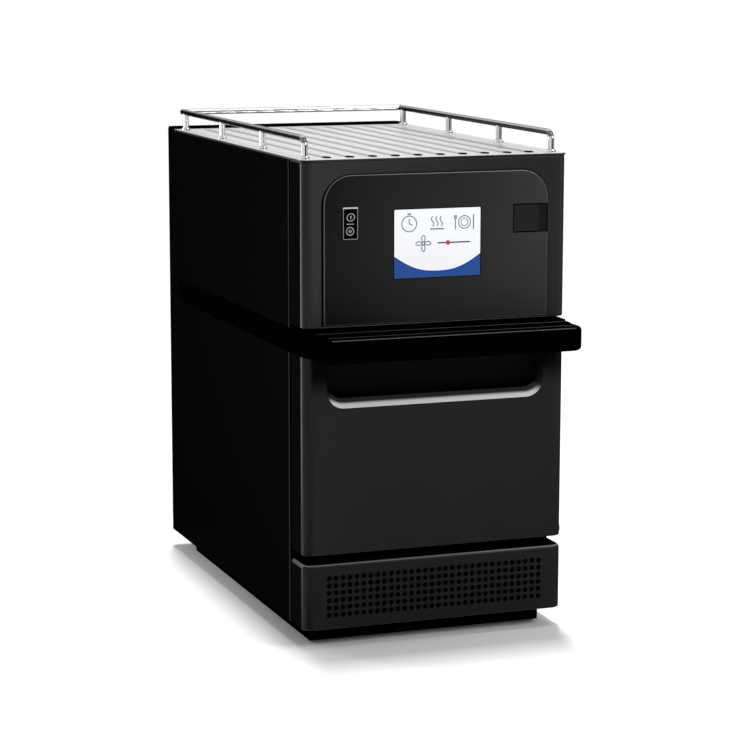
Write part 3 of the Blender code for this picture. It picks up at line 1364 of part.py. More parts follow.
def fan_places():
    front = BULKHEAD_BACK + CLEARANCE
    return front, front + FAN_DEPTH, DECK + FAN_SIDE / 2


def make_fan_frame():
    """A square duct with four struts that carry the fan's spindle at the back."""
    front, back, middle = fan_places()
    half = FAN_SIDE / 2
    frame = piece("cooling_fan_frame", block(-half, half, front, back, DECK, DECK + FAN_SIDE), "gloss_black")
    cut(frame, bar("Y", (0, middle), half - FAN_WALL, front - OVERRUN, back + OVERRUN))
    strut = FAN_STRUT / 2
    long = half - FAN_WALL / 2
    start = back - FAN_STRUT_DEPTH
    add(frame, block(-long, long, start, back, middle - strut, middle + strut))
    add(frame, block(-strut, strut, start, back, middle - long, middle + long))
    add(frame, bar("Y", (0, middle), FAN_HUB_RADIUS, start, back))
    end = start + FAN_STRUT_DEPTH / 2
    add(frame, bar("Y", (0, middle), FAN_SPINDLE, front + FAN_STRUT_DEPTH, end, SMALL_SIDES))


def make_cooling_fan():
    """A hub with pitched blades that runs on the frame's spindle."""
    front, back, middle = fan_places()
    centre = (0, middle)
    start = front + FAN_STRUT_DEPTH / 2
    end = back - FAN_STRUT_DEPTH - RUNNING_GAP
    hub = bar("Y", centre, FAN_HUB_RADIUS, start, end)
    rotor = piece("cooling_fan", hub, "gloss_black", (0, start, middle))
    tip = FAN_SIDE / 2 - FAN_WALL - RUNNING_GAP * 2
    chord = FAN_BLADE_CHORD / 2
    half = FAN_BLADE_THICKNESS / 2
    along = (start + end) / 2
    lean = ((-chord, -half), (chord, -half), (chord, half), (-chord, half))
    for index in range(FAN_BLADES):
        angle = tau * index / FAN_BLADES
        points = []
        for radius in (FAN_HUB_RADIUS / 2, tip):
            for u, v in lean:
                across = u * cos(FAN_BLADE_PITCH) - v * sin(FAN_BLADE_PITCH)
                y = along + u * sin(FAN_BLADE_PITCH) + v * cos(FAN_BLADE_PITCH)
                x, z = turned_point((radius ** 2 - across ** 2) ** 0.5, across, angle, centre)
                points.append((x, y, z))
        faces = [(0, 1, 2, 3), (4, 5, 6, 7), (0, 1, 5, 4), (1, 2, 6, 5), (2, 3, 7, 6), (3, 0, 4, 7)]
        add(rotor, (points, faces))
    bore_start = front + FAN_STRUT_DEPTH - CLEARANCE
    cut(rotor, bar("Y", centre, FAN_SPINDLE + CLEARANCE, bore_start, end + OVERRUN, SMALL_SIDES))


def circuit_board(name, centre_x, low, width, height, back):
    """A board on four standoffs, with two tall components, whose standoffs end at this depth."""
    face = back - BOARD_STANDOFF
    front = face - BOARD_THICKNESS
    half = width / 2
    sheet = block(centre_x - half, centre_x + half, front, face, low, low + height)
    board = piece(name, sheet, "board_green")
    inside = front + BOARD_THICKNESS / 2
    for x in (centre_x - half + BOARD_EDGE, centre_x + half - BOARD_EDGE):
        for z in (low + BOARD_EDGE, low + height - BOARD_EDGE):
            add(board, bar("Y", (x, z), BOARD_STANDOFF_RADIUS, inside, back, TINY_SIDES))
    chip = CHIP_WIDTH / 2
    middle = low + height / 2
    for x in (centre_x - half / 2, centre_x + half / 2):
        add(board, block(x - chip, x + chip, front - CHIP_HEIGHT, inside, middle - chip, middle + chip))


def make_boards():
    """The control board stands on the bulkhead behind the screen; the power board hangs behind it."""
    circuit_board("control_board", 0, SCREEN_MIDDLE - CONTROL_BOARD_HEIGHT / 2, CONTROL_BOARD_WIDTH,
                  CONTROL_BOARD_HEIGHT, BULKHEAD_FACE - CLEARANCE)
    foot = BULKHEAD_BACK + CLEARANCE
    face = foot + BOARD_STANDOFF
    half = POWER_BOARD_WIDTH / 2
    high = BODY_HEIGHT - POWER_BOARD_HEAD
    low = high - POWER_BOARD_HEIGHT
    board = piece("power_board", block(-half, half, face, face + BOARD_THICKNESS, low, high), "board_green")
    for x in (BOARD_EDGE - half, half - BOARD_EDGE):
        for z in (low + BOARD_EDGE, high - BOARD_EDGE):
            add(board, bar("Y", (x, z), BOARD_STANDOFF_RADIUS, foot, face + BOARD_THICKNESS / 2, TINY_SIDES))


def make_origin():
    """The empty that carries every piece and stands the oven on the floor."""
    origin = bpy.data.objects.new("oven_origin", None)
    bpy.context.scene.collection.objects.link(origin)
    origin.location = (0, FRONT_Y, STAND_HEIGHT)


def main():
    clear_objects()
    make_origin()
    make_plinth()
    make_feet()
    make_base_tray()
    make_side_panels()
    make_belt_trims()
    make_bulkhead()
    make_roof_panel()
    make_rear_cover()
    make_cable_gland()
    make_top_plate()
    make_side_rails()
    make_rear_rail()
    make_posts()
    make_fascia()
    make_control_panel()
    make_touch_screen()
    make_switch_housing()
    make_rocker()
    make_usb_socket()
    make_usb_flap()
    make_door_shell()
    make_hinge_pins()
    make_hinge_arms()
    make_door_lining()
    make_door_seal()
    make_handle()
    make_door_latch()
    make_interlock_switch()
    make_filter_panel()
    make_filter_mesh()
    make_cavity_liner()
    make_cook_plate()
    make_jet_plate()
    make_plenum()
    make_heating_element()
    make_convection_fan()
    make_fan_motor()
    make_stirrer()
    make_stirrer_motor()
    make_waveguide()
    make_magnetron()
    make_transformer()
    make_capacitor()
    make_fan_frame()
    make_cooling_fan()
    make_boards()


main()
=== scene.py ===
"""The looks of a tall, narrow speed oven: finishes, smooth rails, round perforations and a lit menu."""

import json
from math import atan2, cos, pi, radians, sin, tau

import bmesh
import bpy
from mathutils import Matrix, Vector


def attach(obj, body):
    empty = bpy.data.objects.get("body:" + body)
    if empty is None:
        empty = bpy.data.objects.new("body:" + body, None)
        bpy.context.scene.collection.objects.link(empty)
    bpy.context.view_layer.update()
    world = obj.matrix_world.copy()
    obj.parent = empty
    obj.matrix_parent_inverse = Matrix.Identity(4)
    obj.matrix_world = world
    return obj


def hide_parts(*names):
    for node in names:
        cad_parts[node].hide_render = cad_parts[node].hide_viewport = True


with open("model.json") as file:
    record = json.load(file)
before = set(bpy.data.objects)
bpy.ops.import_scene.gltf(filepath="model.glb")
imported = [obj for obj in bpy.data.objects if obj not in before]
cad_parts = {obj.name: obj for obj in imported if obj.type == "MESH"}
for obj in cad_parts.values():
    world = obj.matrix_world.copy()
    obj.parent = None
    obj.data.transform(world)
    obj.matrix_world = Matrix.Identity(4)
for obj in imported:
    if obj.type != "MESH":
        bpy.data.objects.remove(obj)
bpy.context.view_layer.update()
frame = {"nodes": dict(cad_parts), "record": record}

# The oven's own frame: y runs back from the flat of the front, z up from the underside of the casing
FRONT_Y = -0.279
STAND_HEIGHT = 0.0255

# Camera, solved on the photograph's straight edges
CAMERA_EYE = (-1.13965, -3.13687, 0.86744)
CAMERA_AZIMUTH = -20.281
CAMERA_ELEVATION = 9.684
CAMERA_ROLL = -0.095
CAMERA_LENS = 118.996
CAMERA_SENSOR = 36

# Light
AMBIENT = 0.30
FLOOR_SIZE = 16
FLOOR_GLOW = 0.02
FLOOR_COLOUR = 0.90
CARD_LEVEL = 0.004

# Finish
EDGE = 0.0006
WELD = 0.00001
NOISE_LOW, NOISE_HIGH = 0.3, 0.7
MENU_GLOW = 0.20
# Where the painted shade on the rounded left corner of the front begins and ends
CORNER_SHADE_START, CORNER_SHADE_END = -0.1635, -0.1700

# Skins and printed layers, measured from the surface that they lie on
SKIN_RISE = 0.0001
SKIN_ROOT = 0.0004
FILM = 0.00006
LAYER = 0.00004

# The solids' own sizes, repeated from the model, and those that follow the photograph
HALF_WIDTH = 0.178
BODY_DEPTH = 0.610
BODY_HEIGHT = 0.592
WRAP_DEPTH = 0.572
CLEARANCE = 0.0003
OVERRUN = 0.002
FRONT_HALF = 0.1765
FRONT_WALL = 0.0025
FRONT_CORNER = 0.0125
FRONT_EDGE = 0.0015
FRONT_END = 0.0493
# How far round each front corner the painted shade on the flanks reaches, left and right
FLANK_SHADE_SPANS = (radians(2), radians(40))
# Where the painted highlight strips on the side panels' front edges begin and end
SIDE_EDGE_FRONT = 0.0514
SIDE_EDGE_BACK = 0.0556

FILTER_HEIGHT = 0.084
FILTER_TOP_EDGE = 0.0045
# The angles of the rounding between which the foot's painted edge highlight runs
BASE_HIGHLIGHT_SPAN = (22, 50)
HOLE_COLUMNS = 32
HOLE_ROWS = 6
HOLE_COLUMN_PITCH = 0.00926
HOLE_ROW_PITCH = 0.0095
HOLE_RADIUS = 0.0035
HOLE_EASE = 0.0003
HOLE_SIDES = 16

DOOR_LOW = 0.0961
DOOR_TOP = 0.3795
DOOR_DEPTH = 0.046
HINGE_DEPTH = 0.012
PIVOT_Z = 0.1051
ARM_X = 0.1555
ARM_SLOT = 0.0036
ARM_REACH = 0.0066
BOSS_START = 0.1595
BOSS_RADIUS = 0.007
PIN_BORE = 0.0043
PIN_FAR = 0.1723
SCOOP_HALF = 0.1432
SCOOP_LOW = 0.2935
SCOOP_TOP = 0.352
SCOOP_DEPTH = 0.028
SCOOP_CORNER = 0.020
LIP_HEIGHT = 0.0115
LIP_DEPTH = 0.010
LIP_SIDE = 0.003
LIP_STEPS = 6
# The painted highlight on the scoop's lip: its height, and where it fades in from the face and up round the
# corners
LIP_HIGHLIGHT_BAND = 0.006
LIP_FOOT = STAND_HEIGHT + SCOOP_LOW
LIP_HIGHLIGHT_FADE_IN = (FRONT_Y + 0.0030, FRONT_Y + 0.0052)
LIP_HIGHLIGHT_FADE_UP = (LIP_FOOT - 0.0045, LIP_FOOT + 0.0020)
# Painted shadow of the handle: the door's tone turns dark towards its top between these heights
DOOR_SHADE = (STAND_HEIGHT + 0.296, STAND_HEIGHT + 0.324)

HANDLE_LOW = 0.348
HANDLE_REACH = 0.064
HANDLE_CORNER = 0.018
HANDLE_EDGE = 0.005
HANDLE_STEP = 0.0012
HANDLE_LEDGE = 0.027
HANDLE_TOP = DOOR_TOP - HANDLE_STEP
GRIP_DEPTH = 0.030
GRIP_ROOF = 0.009
GRIP_CHEEK = 0.014
GRIP_CORNER = 0.006

FASCIA_LOW = 0.3838
FASCIA_EASE = 0.0012
ROOF_TOP = 0.5891
ARCH_HALF = 0.1498
ARCH_LOW = 0.3864
ARCH_TOP = 0.5722
ARCH_CORNER = 0.036
ARCH_GROOVE = 0.0036
ARCH_FLARE = 0.0022
ARCH_PROUD = 0.0010
ARCH_FLANGE = 0.006
ARCH_FLANGE_FACE = 0.0028
ARCH_BACK = 0.0048
RIM_WIDTH = 0.0009
RIM_CURVE = ((1, 1), (0.62, 0.92), (0.29, 0.70), (0.08, 0.40), (0, 0))
GASKET_FACE = 0.00255
GASKET_BACK = 0.0027
GAP_LEFT = 0.0032
GAP_REST = 0.0010
FLARE_DEPTH = 0.0011
FLARE_STEPS = 5

SCREEN_HALF = 0.0586
SCREEN_LOW = 0.4408
SCREEN_HIGH = 0.5285
SCREEN_CORNER = 0.002
SCREEN_FACE = -0.0006
MENU_INSET = 0.0010
MENU_CORNER = 0.0012
MENU_STEPS = 32
FOOT_LOW = 0.0075
FOOT_RISE = 0.0195
LINE = 0.00095
ICON_SCALE = 1.2

ROCKER_X = -0.116
ROCKER_Z = 0.513
ROCKER_HALF = 0.00615
ROCKER_SWEEP = 0.0163
ROCKER_EAR = 0.008
ROCKER_END = (ROCKER_SWEEP ** 2 - ROCKER_EAR ** 2) ** 0.5
ROCKER_DISH = 0.0015
ROCKER_BACK = 0.005
ROCKER_AXIS_DEPTH = 0.005
ROCKER_TILT = radians(8)
CASE_WALL = 0.0015
BEZEL = 0.0036
BEZEL_FACE = -0.0025
BEZEL_LINE = 0.0009
MARK_PLACE = 0.0088
MARK_RADIUS = 0.0048

USB_LEFT = 0.102
USB_LOW = 0.493
USB_HIGH = 0.530
USB_RIGHT = ARCH_HALF + ARCH_GROOVE / 2
FLAP_LEFT = 0.1038
FLAP_RIGHT = 0.1378
FLAP_LOW = 0.4948
FLAP_HIGH = 0.5282
FLAP_FACE = 0.0002
FLAP_BACK = 0.0022
FLAP_CORNER = 0.002
FLAP_BORDER = 0.0022
FLAP_GRIP = 0.0030
FLAP_CHANNEL_WIDTH = 0.0006
FLAP_CHANNEL_DEPTH = 0.0004
SOCKET_X = 0.1208
SOCKET_Z = 0.5115
SOCKET_HALF_WIDTH = 0.0065
SOCKET_HALF_HEIGHT = 0.003

PLATE_UNDER = 0.5894
GROOVE_COUNT = 10
GROOVE_PITCH = 0.0302
GROOVE_WIDTH = 0.017
GROOVE_DEPTH = 0.0012
GROOVE_FRONT = 0.032
GROOVE_REAR = 0.560
GROOVE_STEPS = 10
FADE_STEPS = 5
DRAIN_WIDTH = 0.0076
DRAIN_FRONT = 0.0225
DRAIN_REAR = 0.0365
GROMMET_WALL = 0.0008
GROMMET_RISE = 0.0010
TRAY_RIM = 0.0005
HEM_RISE = 0.0022
HEM_CORNER = 0.008

ROD_RADIUS = 0.004
RAIL_X = 0.1655
RAIL_Z = 0.6165
RAIL_HEIGHT = STAND_HEIGHT + RAIL_Z
RAIL_BEND = 0.010
RAIL_LEG_DEPTH = 0.0268
RAIL_REAR_DEPTH = 0.566
CAP_LENGTH = 0.0012
CAP_SHOULDER = 0.0005
POST_DEPTHS = (0.196, 0.375, 0.554)
COLLAR_RADIUS = 0.0062
COLLAR_HEIGHT = 0.003
COLLAR_CURVE = ((1, 0), (1, 0.45), (0.97, 0.6), (0.88, 0.75), (0.76, 0.9))

SCREW_COLUMNS = (-0.160, 0.160)
SCREW_ROWS = (0.03, 0.300, 0.570)
SCREW_RADIUS = 0.0035
SCREW_RISE = 0.0014
SCREW_CURVE = ((1, 0), (1, 0.4), (0.85, 0.75), (0.5, 1))
SCREW_SLOT = (0.002, 0.00035)
SCREW_SLOT_FLOOR = 0.0006


def place(x, y, z):
    """A point of the oven's own frame, in the shared frame."""
    return Vector((x, y + FRONT_Y, z + STAND_HEIGHT))


# Outlines are lists of points in the plane across an axis, and shapes are points with faces


def arc(centre, radius, start, turn, steps):
    angles = [start + turn * i / steps for i in range(steps + 1)]
    return [(centre[0] + radius * cos(a), centre[1] + radius * sin(a)) for a in angles]


def circle(centre, radius, sides):
    return arc(centre, radius, 0, tau, sides)[:-1]


def rounded(left, right, low, high, radii, steps=12):
    """A rectangle with its four corner radii in turn: low left, low right, high right, high left."""
    places = ((left, low, 1, 1), (right, low, -1, 1), (right, high, -1, -1), (left, high, 1, -1))
    outline = []
    for turn, ((u, v, inward_u, inward_v), radius) in enumerate(zip(places, radii)):
        if radius:
            centre = (u + inward_u * radius, v + inward_v * radius)
            outline += arc(centre, radius, pi + turn * pi / 2, pi / 2, steps)
        else:
            outline.append((u, v))
    return outline


def walls(count, rows, closed=True):
    """The faces between rows of this many points each, which run round in a ring if closed."""
    faces = []
    for start in range(0, (rows - 1) * count, count):
        for i in range(count if closed else count - 1):
            j = (i + 1) % count
            faces.append((start + i, start + j, start + count + j, start + count + i))
    return faces


def solid(points, count):
    """The solid through rings of this many points each, closed at both ends."""
    total = len(points)
    ends = [tuple(range(count)), tuple(range(total - count, total))]
    return points, ends + walls(count, total // count)


def point_on(axis, u, v, along):
    return {"X": (along, u, v), "Y": (u, along, v), "Z": (u, v, along)}[axis]


def loft(axis, sections):
    """A closed solid through outlines of equal length, each at its place along the axis."""
    points = [point_on(axis, u, v, along) for outline, along in sections for u, v in outline]
    return solid(points, len(sections[0][0]))


def prism(axis, outline, low, high):
    return loft(axis, [(outline, low), (outline, high)])


def block(left, right, front, back, low, high):
    return prism("Z", [(left, front), (right, front), (right, back), (left, back)], low, high)


def hole(x, z, wide, tall, front, back):
    """A block for a hole about this place on the front, given by its half width and half height."""
    return block(x - wide, x + wide, front, back, z - tall, z + tall)


def turned(axis, centre, profile, sides=32):
    """A solid of revolution from (radius, place along the axis) pairs."""
    return loft(axis, [(circle(centre, radius, sides), along) for radius, along in profile])


def tube(path, radius, sides=24):
    """A round rod along a path that lies in one plane."""
    spots = [Vector(p) for p in path]
    normal = Vector((0, 0, 0))
    for a, b, c in zip(spots, spots[1:], spots[2:]):
        normal += (b - a).cross(c - b)
    normal.normalize()
    steps = [(b - a).normalized() for a, b in zip(spots, spots[1:])]
    points = []
    for spot, before, after in zip(spots, steps[:1] + steps, steps + steps[-1:]):
        across = (before + after).normalized().cross(normal)
        for side in range(sides):
            angle = tau * side / sides
            points.append(tuple(spot + radius * (cos(angle) * normal + sin(angle) * across)))
    return solid(points, sides)


def together(*shapes):
    points, faces = [], []
    for more_points, more_faces in shapes:
        faces += [tuple(i + len(points) for i in face) for face in more_faces]
        points += more_points
    return points, faces


def mirrored(shape):
    points, faces = shape
    return [(-x, y, z) for x, y, z in points], [tuple(reversed(face)) for face in faces]


def spread(count, pitch):
    return [(i - (count - 1) / 2) * pitch for i in range(count)]


def in_scene(name, data):
    made = bpy.data.objects.new(name, data)
    bpy.context.scene.collection.objects.link(made)
    return made


def plain_object(name, shape):
    points, faces = shape
    mesh = bpy.data.meshes.new(name)
    mesh.from_pydata([place(*point) for point in points], [], faces)
    shell = bmesh.new()
    shell.from_mesh(mesh)
    bmesh.ops.recalc_face_normals(shell, faces=shell.faces)
    shell.to_mesh(mesh)
    shell.free()
    return in_scene(name, mesh)


def combine(made, operation, *shapes):
    """Adds to, cuts or trims a piece with shapes that stand apart, and keeps the result as its mesh."""
    tool = plain_object("tool", together(*shapes))
    change = made.modifiers.new("combine", "BOOLEAN")
    change.operation = operation
    change.solver = "EXACT"
    change.object = tool
    settled = made.evaluated_get(bpy.context.evaluated_depsgraph_get())
    mesh = bpy.data.meshes.new_from_object(settled)
    made.modifiers.clear()
    worn = made.data
    made.data = mesh
    bpy.data.meshes.remove(worn)
    bpy.data.objects.remove(tool, do_unlink=True)


def cut(made, *shapes):
    combine(made, "DIFFERENCE", *shapes)


def make(name, shape, *finish, **more):
    dress(plain_object(name, shape), *finish, **more)


def dress(made, material, body, slot, nodes=(), bevel=0.0, crease=30):
    """Finishes a piece: material, eased edges, smooth shading, and the body it rides on."""
    made.data.materials.clear()
    made.data.materials.append(materials[material])
    made.data.shade_smooth()
    made.data.set_sharp_from_angle(angle=radians(crease))
    if bevel:
        ease(made, bevel, crease)
    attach(made, body)
    if nodes:
        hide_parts(*nodes)


def ease(made, width, angle=35):
    bevel = made.modifiers.new("edge", "BEVEL")
    bevel.width = width
    bevel.segments = 2
    bevel.limit_method = "ANGLE"
    bevel.angle_limit = radians(angle)
    bevel.use_clamp_overlap = True
    normals = made.modifiers.new("normals", "WEIGHTED_NORMAL")
    normals.keep_sharp = True


# Materials


class Nodes:
    """A node tree under construction."""

    def __init__(self, owner):
        owner.use_nodes = True
        self.tree = owner.node_tree

    def feed(self, socket, value):
        """Gives a socket a plain value or another node's output."""
        if isinstance(value, bpy.types.NodeSocket):
            self.tree.links.new(value, socket)
        else:
            socket.default_value = value

    def node(self, kind, feeds=(), **settings):
        made = self.tree.nodes.new(kind)
        for key, value in settings.items():
            setattr(made, key, value)
        for socket, value in dict(feeds).items():
            self.feed(made.inputs[socket], value)
        return made


class Paint(Nodes):
    """A material under construction: a Principled shader and the nodes that feed it."""

    def __init__(self, name, colour, roughness, metallic=0.0, specular=0.5):
        self.material = bpy.data.materials.new(name)
        super().__init__(self.material)
        self.colour = colour if isinstance(colour, tuple) else (colour,) * 3
        self.roughness = roughness
        self.shader = self.tree.nodes["Principled BSDF"]
        self.set("Base Color", self.shade(1))
        self.set("Roughness", roughness)
        self.set("Metallic", metallic)
        self.set("Specular IOR Level", specular)
        self.coordinates = self.node("ShaderNodeTexCoord").outputs["Object"]

    def set(self, socket, value):
        self.feed(self.shader.inputs[socket], value)

    def shade(self, share):
        return (*(c * share for c in self.colour), 1)

    def noise(self, scale, detail, stretch=(1, 1, 1), distortion=0.0):
        """Noise of this many features to the metre, stretched along an axis if asked."""
        mapping = self.node("ShaderNodeMapping", {"Vector": self.coordinates, "Scale": stretch})
        feeds = {"Vector": mapping.outputs["Vector"], "Scale": scale, "Detail": detail,
                 "Distortion": distortion}
        return self.node("ShaderNodeTexNoise", feeds).outputs["Fac"]

    def along(self, axis):
        """The place along an axis of the shared frame."""
        return self.node("ShaderNodeSeparateXYZ", {"Vector": self.coordinates}).outputs[axis]

    def ranged(self, value, low, high, start=NOISE_LOW, end=NOISE_HIGH):
        feeds = {"Value": value, "From Min": start, "From Max": end, "To Min": low, "To Max": high}
        return self.node("ShaderNodeMapRange", feeds).outputs["Result"]

    def total(self, one, other):
        return self.node("ShaderNodeMath", {0: one, 1: other}, operation="ADD").outputs[0]

    def run_colour(self, value, first, share, start, end):
        feeds = {"Factor": self.ranged(value, 0, 1, start, end), "A": first, "B": self.shade(share)}
        self.set("Base Color", self.node("ShaderNodeMix", feeds, data_type="RGBA").outputs["Result"])

    def vary_colour(self, value, dark, light, start=NOISE_LOW, end=NOISE_HIGH):
        """Runs the base colour from dark to light times itself as the value grows."""
        self.run_colour(value, self.shade(dark), light, start, end)

    def turn_along(self, turns):
        """Turns the colour to a share of itself from start to end on an axis, once for each of the turns."""
        for axis, share, start, end in turns:
            now = self.shader.inputs["Base Color"].links[0].from_socket
            self.run_colour(self.along(axis), now, share, start, end)

    def vary_roughness(self, value, change):
        self.set("Roughness", self.ranged(value, self.roughness - change, self.roughness + change))

    def bump(self, value, depth, strength):
        relief = self.node("ShaderNodeBump", {"Height": value, "Distance": depth, "Strength": strength})
        self.set("Normal", relief.outputs["Normal"])

    def finished(self, colour=None, rough=None, relief=None):
        """Ends the making with noises, each given by its scale and detail and what it does."""
        if colour:
            self.vary_colour(self.noise(*colour[:2]), *colour[2:])
        if rough:
            self.vary_roughness(self.noise(*rough[:2]), rough[2])
        if relief:
            self.bump(self.noise(*relief[:2]), *relief[2:])
        return self.material


def powder_coat(name, colour, roughness, specular):
    """Sprayed coating: a faint orange peel and a slight drift in tone."""
    paint = Paint(name, colour, roughness, specular=specular)
    return paint.finished((3, 2, 0.94, 1.06), (500, 3, 0.03), (1400, 2, 0.00002, 0.3))


def moulded(name, colour, roughness, specular, dark=0.95, light=1.05, turns=(), shading_slope=None, shift=0.0):
    """Spark-textured plastic: a fine grain with faint patches, whose tone may drift along a slope as painted
    light and shade across a face.
    """
    paint = Paint(name, colour, roughness, specular=specular)
    tone, ends = paint.noise(4, 3, distortion=0.3), (NOISE_LOW, NOISE_HIGH)
    # Painted light and shade: the slope runs the tone from darker to lighter across a face, as light falls on
    # it
    if shading_slope:
        painted_shading = paint.node("ShaderNodeVectorMath", {0: paint.coordinates, 1: shading_slope}, operation="DOT_PRODUCT")
        tone, ends = paint.total(painted_shading.outputs["Value"], tone), (shift - 0.1, shift + 1.1)
    paint.vary_colour(tone, dark, light, *ends)
    paint.turn_along(turns)
    return paint.finished(None, (700, 4, 0.04), (2200, 3, 0.00002, 0.5))


def brushed(name, colour, roughness, stretch, edge=1.0, depth=0.00002, turns=()):
    """Metal with long fine scratches along one axis, duller at a glancing angle."""
    paint = Paint(name, colour, roughness, 1.0)
    paint.set("Specular Tint", (edge, edge, edge, 1))
    scratches = paint.noise(1500, 4, stretch)
    paint.vary_colour(scratches, 0.90, 1.08)
    paint.turn_along(turns)
    paint.vary_roughness(scratches, 0.08)
    paint.bump(scratches, depth, 0.5)
    return paint.material


def grooved_steel(name, colour, roughness):
    """Brushed steel that darkens towards the floors of its grooves."""
    paint = Paint(name, colour, roughness, 0.85)
    paint.set("Specular Tint", (0.62, 0.62, 0.62, 1))
    face = BODY_HEIGHT + STAND_HEIGHT
    scratches = paint.noise(1500, 4, (1, 0.02, 1))
    depth = paint.ranged(paint.along("Z"), 0, 1, face - 0.0010, face)
    paint.vary_colour(paint.total(depth, paint.ranged(scratches, -0.08, 0.08)), 0.40, 1.0, 0, 1)
    paint.vary_roughness(scratches, 0.06)
    paint.bump(scratches, 0.00001, 0.4)
    return paint.material


def rough_metal(name, colour, roughness, metallic=1.0):
    """Cast or heat-marked metal: soft clouds and a pebbled skin."""
    paint = Paint(name, colour, roughness, metallic)
    return paint.finished((30, 5, 0.80, 1.12), (45, 4, 0.08), (700, 3, 0.00005, 0.5))


def soft_rubber(name, colour, roughness):
    paint = Paint(name, colour, roughness, specular=0.3)
    return paint.finished((80, 3, 0.85, 1.15), None, (1200, 2, 0.00004, 0.5))


def lit_panel(name, *colour):
    """A back-lit face: its own colour and a little light of the same colour."""
    paint = Paint(name, colour, 0.22)
    paint.set("Emission Color", (*colour, 1))
    paint.set("Emission Strength", MENU_GLOW)
    return paint.finished((25, 2, 0.99, 1.01), (40, 3, 0.03))


def painted_corner_shade(share):
    """Painted shade: the turn darker on the rounded left corner of the front."""
    return ("X", share, CORNER_SHADE_START, CORNER_SHADE_END)


def painted_reflection_band(start, end):
    """A band of painted dark reflection on a rail, from one height on it to another, and light again below."""
    start, end = start + RAIL_HEIGHT, end + RAIL_HEIGHT
    return (("Z", 0.20, start, end), ("Z", 1.0, end - 0.0058, end - 0.0068))


# Each row: colour or grey level, roughness, and what else its function asks for
FINISHES = {
    powder_coat: {
        "black_steel": (0.0006, 0.6, 0.002),
        "flank_black": ((0.0032, 0.0032, 0.0033), 0.6, 0),
        "scoop_black": ((0.0058, 0.0058, 0.0059), 0.7, 0),
        "edge_grey": (0.03, 0.5, 0),
        "gloss_black": (0.0006, 0.45, 0),
        "matt_black": (0.003, 0.7, 0),
        "screen_glass": ((0.01, 0.01, 0.011), 0.12, 0.5),
        "filter_mesh": (0.003, 0.85, 0),
    },
    moulded: {
        # The slopes in these rows paint light and shade across the fronts; the panel's runs lighter to the
        # right
        "charcoal": ((0.0245, 0.0245, 0.0248), 0.3, 0.13, 0.7, 1.45,
                     [painted_corner_shade(0.45)], (-2.7, 0, -2.7), -1.5),
        "panel_charcoal": ((0.019, 0.019, 0.0193), 0.4, 0.06, 0.25, 1.9, (), (4, 0, 0)),
        "door_charcoal": ((0.0136, 0.0136, 0.0138), 0.36, 0.13, 0.7, 1.3,
                          [("Z", 0.12, *DOOR_SHADE), painted_corner_shade(0.35)], (-1.6, 0, 1.6)),
        "base_charcoal": ((0.013, 0.013, 0.0132), 0.36, 0.13, 0.97, 1.03, [painted_corner_shade(0.45)], (1, 0, 0)),
        "lip_satin": (0.72, 0.3, 0.4, 0.95, 1.05, [("Y", 0.04, *LIP_HIGHLIGHT_FADE_IN), ("Z", 0.06, *LIP_HIGHLIGHT_FADE_UP)]),
        "rim_charcoal": ((0.09, 0.09, 0.091), 0.35, 0.5),
        "base_line": (0.13, 0.35, 0.3),
        "handle_black": (0.0006, 0.2, 0),
        "handle_line": (0.06, 0.3, 0.25),
        "handle_faint": (0.02, 0.3, 0.1),
        "flap_black": ((0.015, 0.015, 0.0152), 0.38, 0.12),
        "recess_black": ((0.0085, 0.0085, 0.0086), 0.45, 0.08),
        "mark_grey": (0.22, 0.5, 0.3),
        "mark_ring": (0.32, 0.5, 0.3),
        "mark_pale": (0.5, 0.5, 0.3),
        "board_green": ((0.02, 0.12, 0.05), 0.4, 0.5),
    },
    brushed: {
        "stainless": ((0.56, 0.56, 0.55), 0.3, (1, 0.02, 1)),
        "polished_steel": (0.66, 0.12, (1, 0.05, 1), 0.55, 0.000003),
        "side_rail_steel": (0.66, 0.12, (1, 0.05, 1), 0.35, 0.000003, painted_reflection_band(0.0022, 0.0008)),
        "rear_rail_steel": (0.95, 0.1, (0.05, 1, 1), 0.1, 0.000003, painted_reflection_band(-0.0008, -0.0022)),
    },
    grooved_steel: {"white_steel": (0.96, 0.32)},
    rough_metal: {
        "cast_aluminium": ((0.45, 0.45, 0.46), 0.42),
        "laminations": ((0.1, 0.1, 0.11), 0.5, 0.8),
        "heater_sheath": ((0.2, 0.17, 0.14), 0.4),
    },
    soft_rubber: {
        "rubber": (0.012, 0.75),
        "silicone": ((0.1, 0.1, 0.11), 0.6),
    },
    lit_panel: {
        "menu_pale": (0.8, 0.81, 0.84),
        "menu_blue": (0.016, 0.068, 0.285),
        "menu_navy": (0.01, 0.03, 0.14),
        "menu_line": (0.06, 0.065, 0.19),
        "menu_red": (0.52, 0.05, 0.07),
    },
}


def dress_nodes():
    """Gives every node of the model its finish."""
    slots = {row["node"]: row["material_slot"] for row in frame["record"]["subparts"]}
    for name, node in frame["nodes"].items():
        node.data.materials.clear()
        node.data.materials.append(materials[slots[name]])


EASED_NODES = (
    "plinth", "side_panel_left", "side_panel_right", "rear_cover", "switch_housing", "door_lining",
    "cook_plate", "door_latch", "cable_gland", "belt_trim_left", "belt_trim_right",
)


def ease_edges():
    """Breaks the sharp edges of the pieces that show, as moulding and folding leave them."""
    for name in EASED_NODES:
        node = frame["nodes"][name]
        weld = node.modifiers.new("weld", "WELD")
        weld.merge_threshold = WELD
        ease(node, EDGE)


# Front mouldings


def easing(edge, steps=5):
    """How far an eased edge draws in, and how far it rises, from its tip to its foot."""
    turns = [pi / 2 * step / steps for step in range(steps + 1)]
    return [(edge - edge * sin(turn), edge - edge * cos(turn)) for turn in turns]


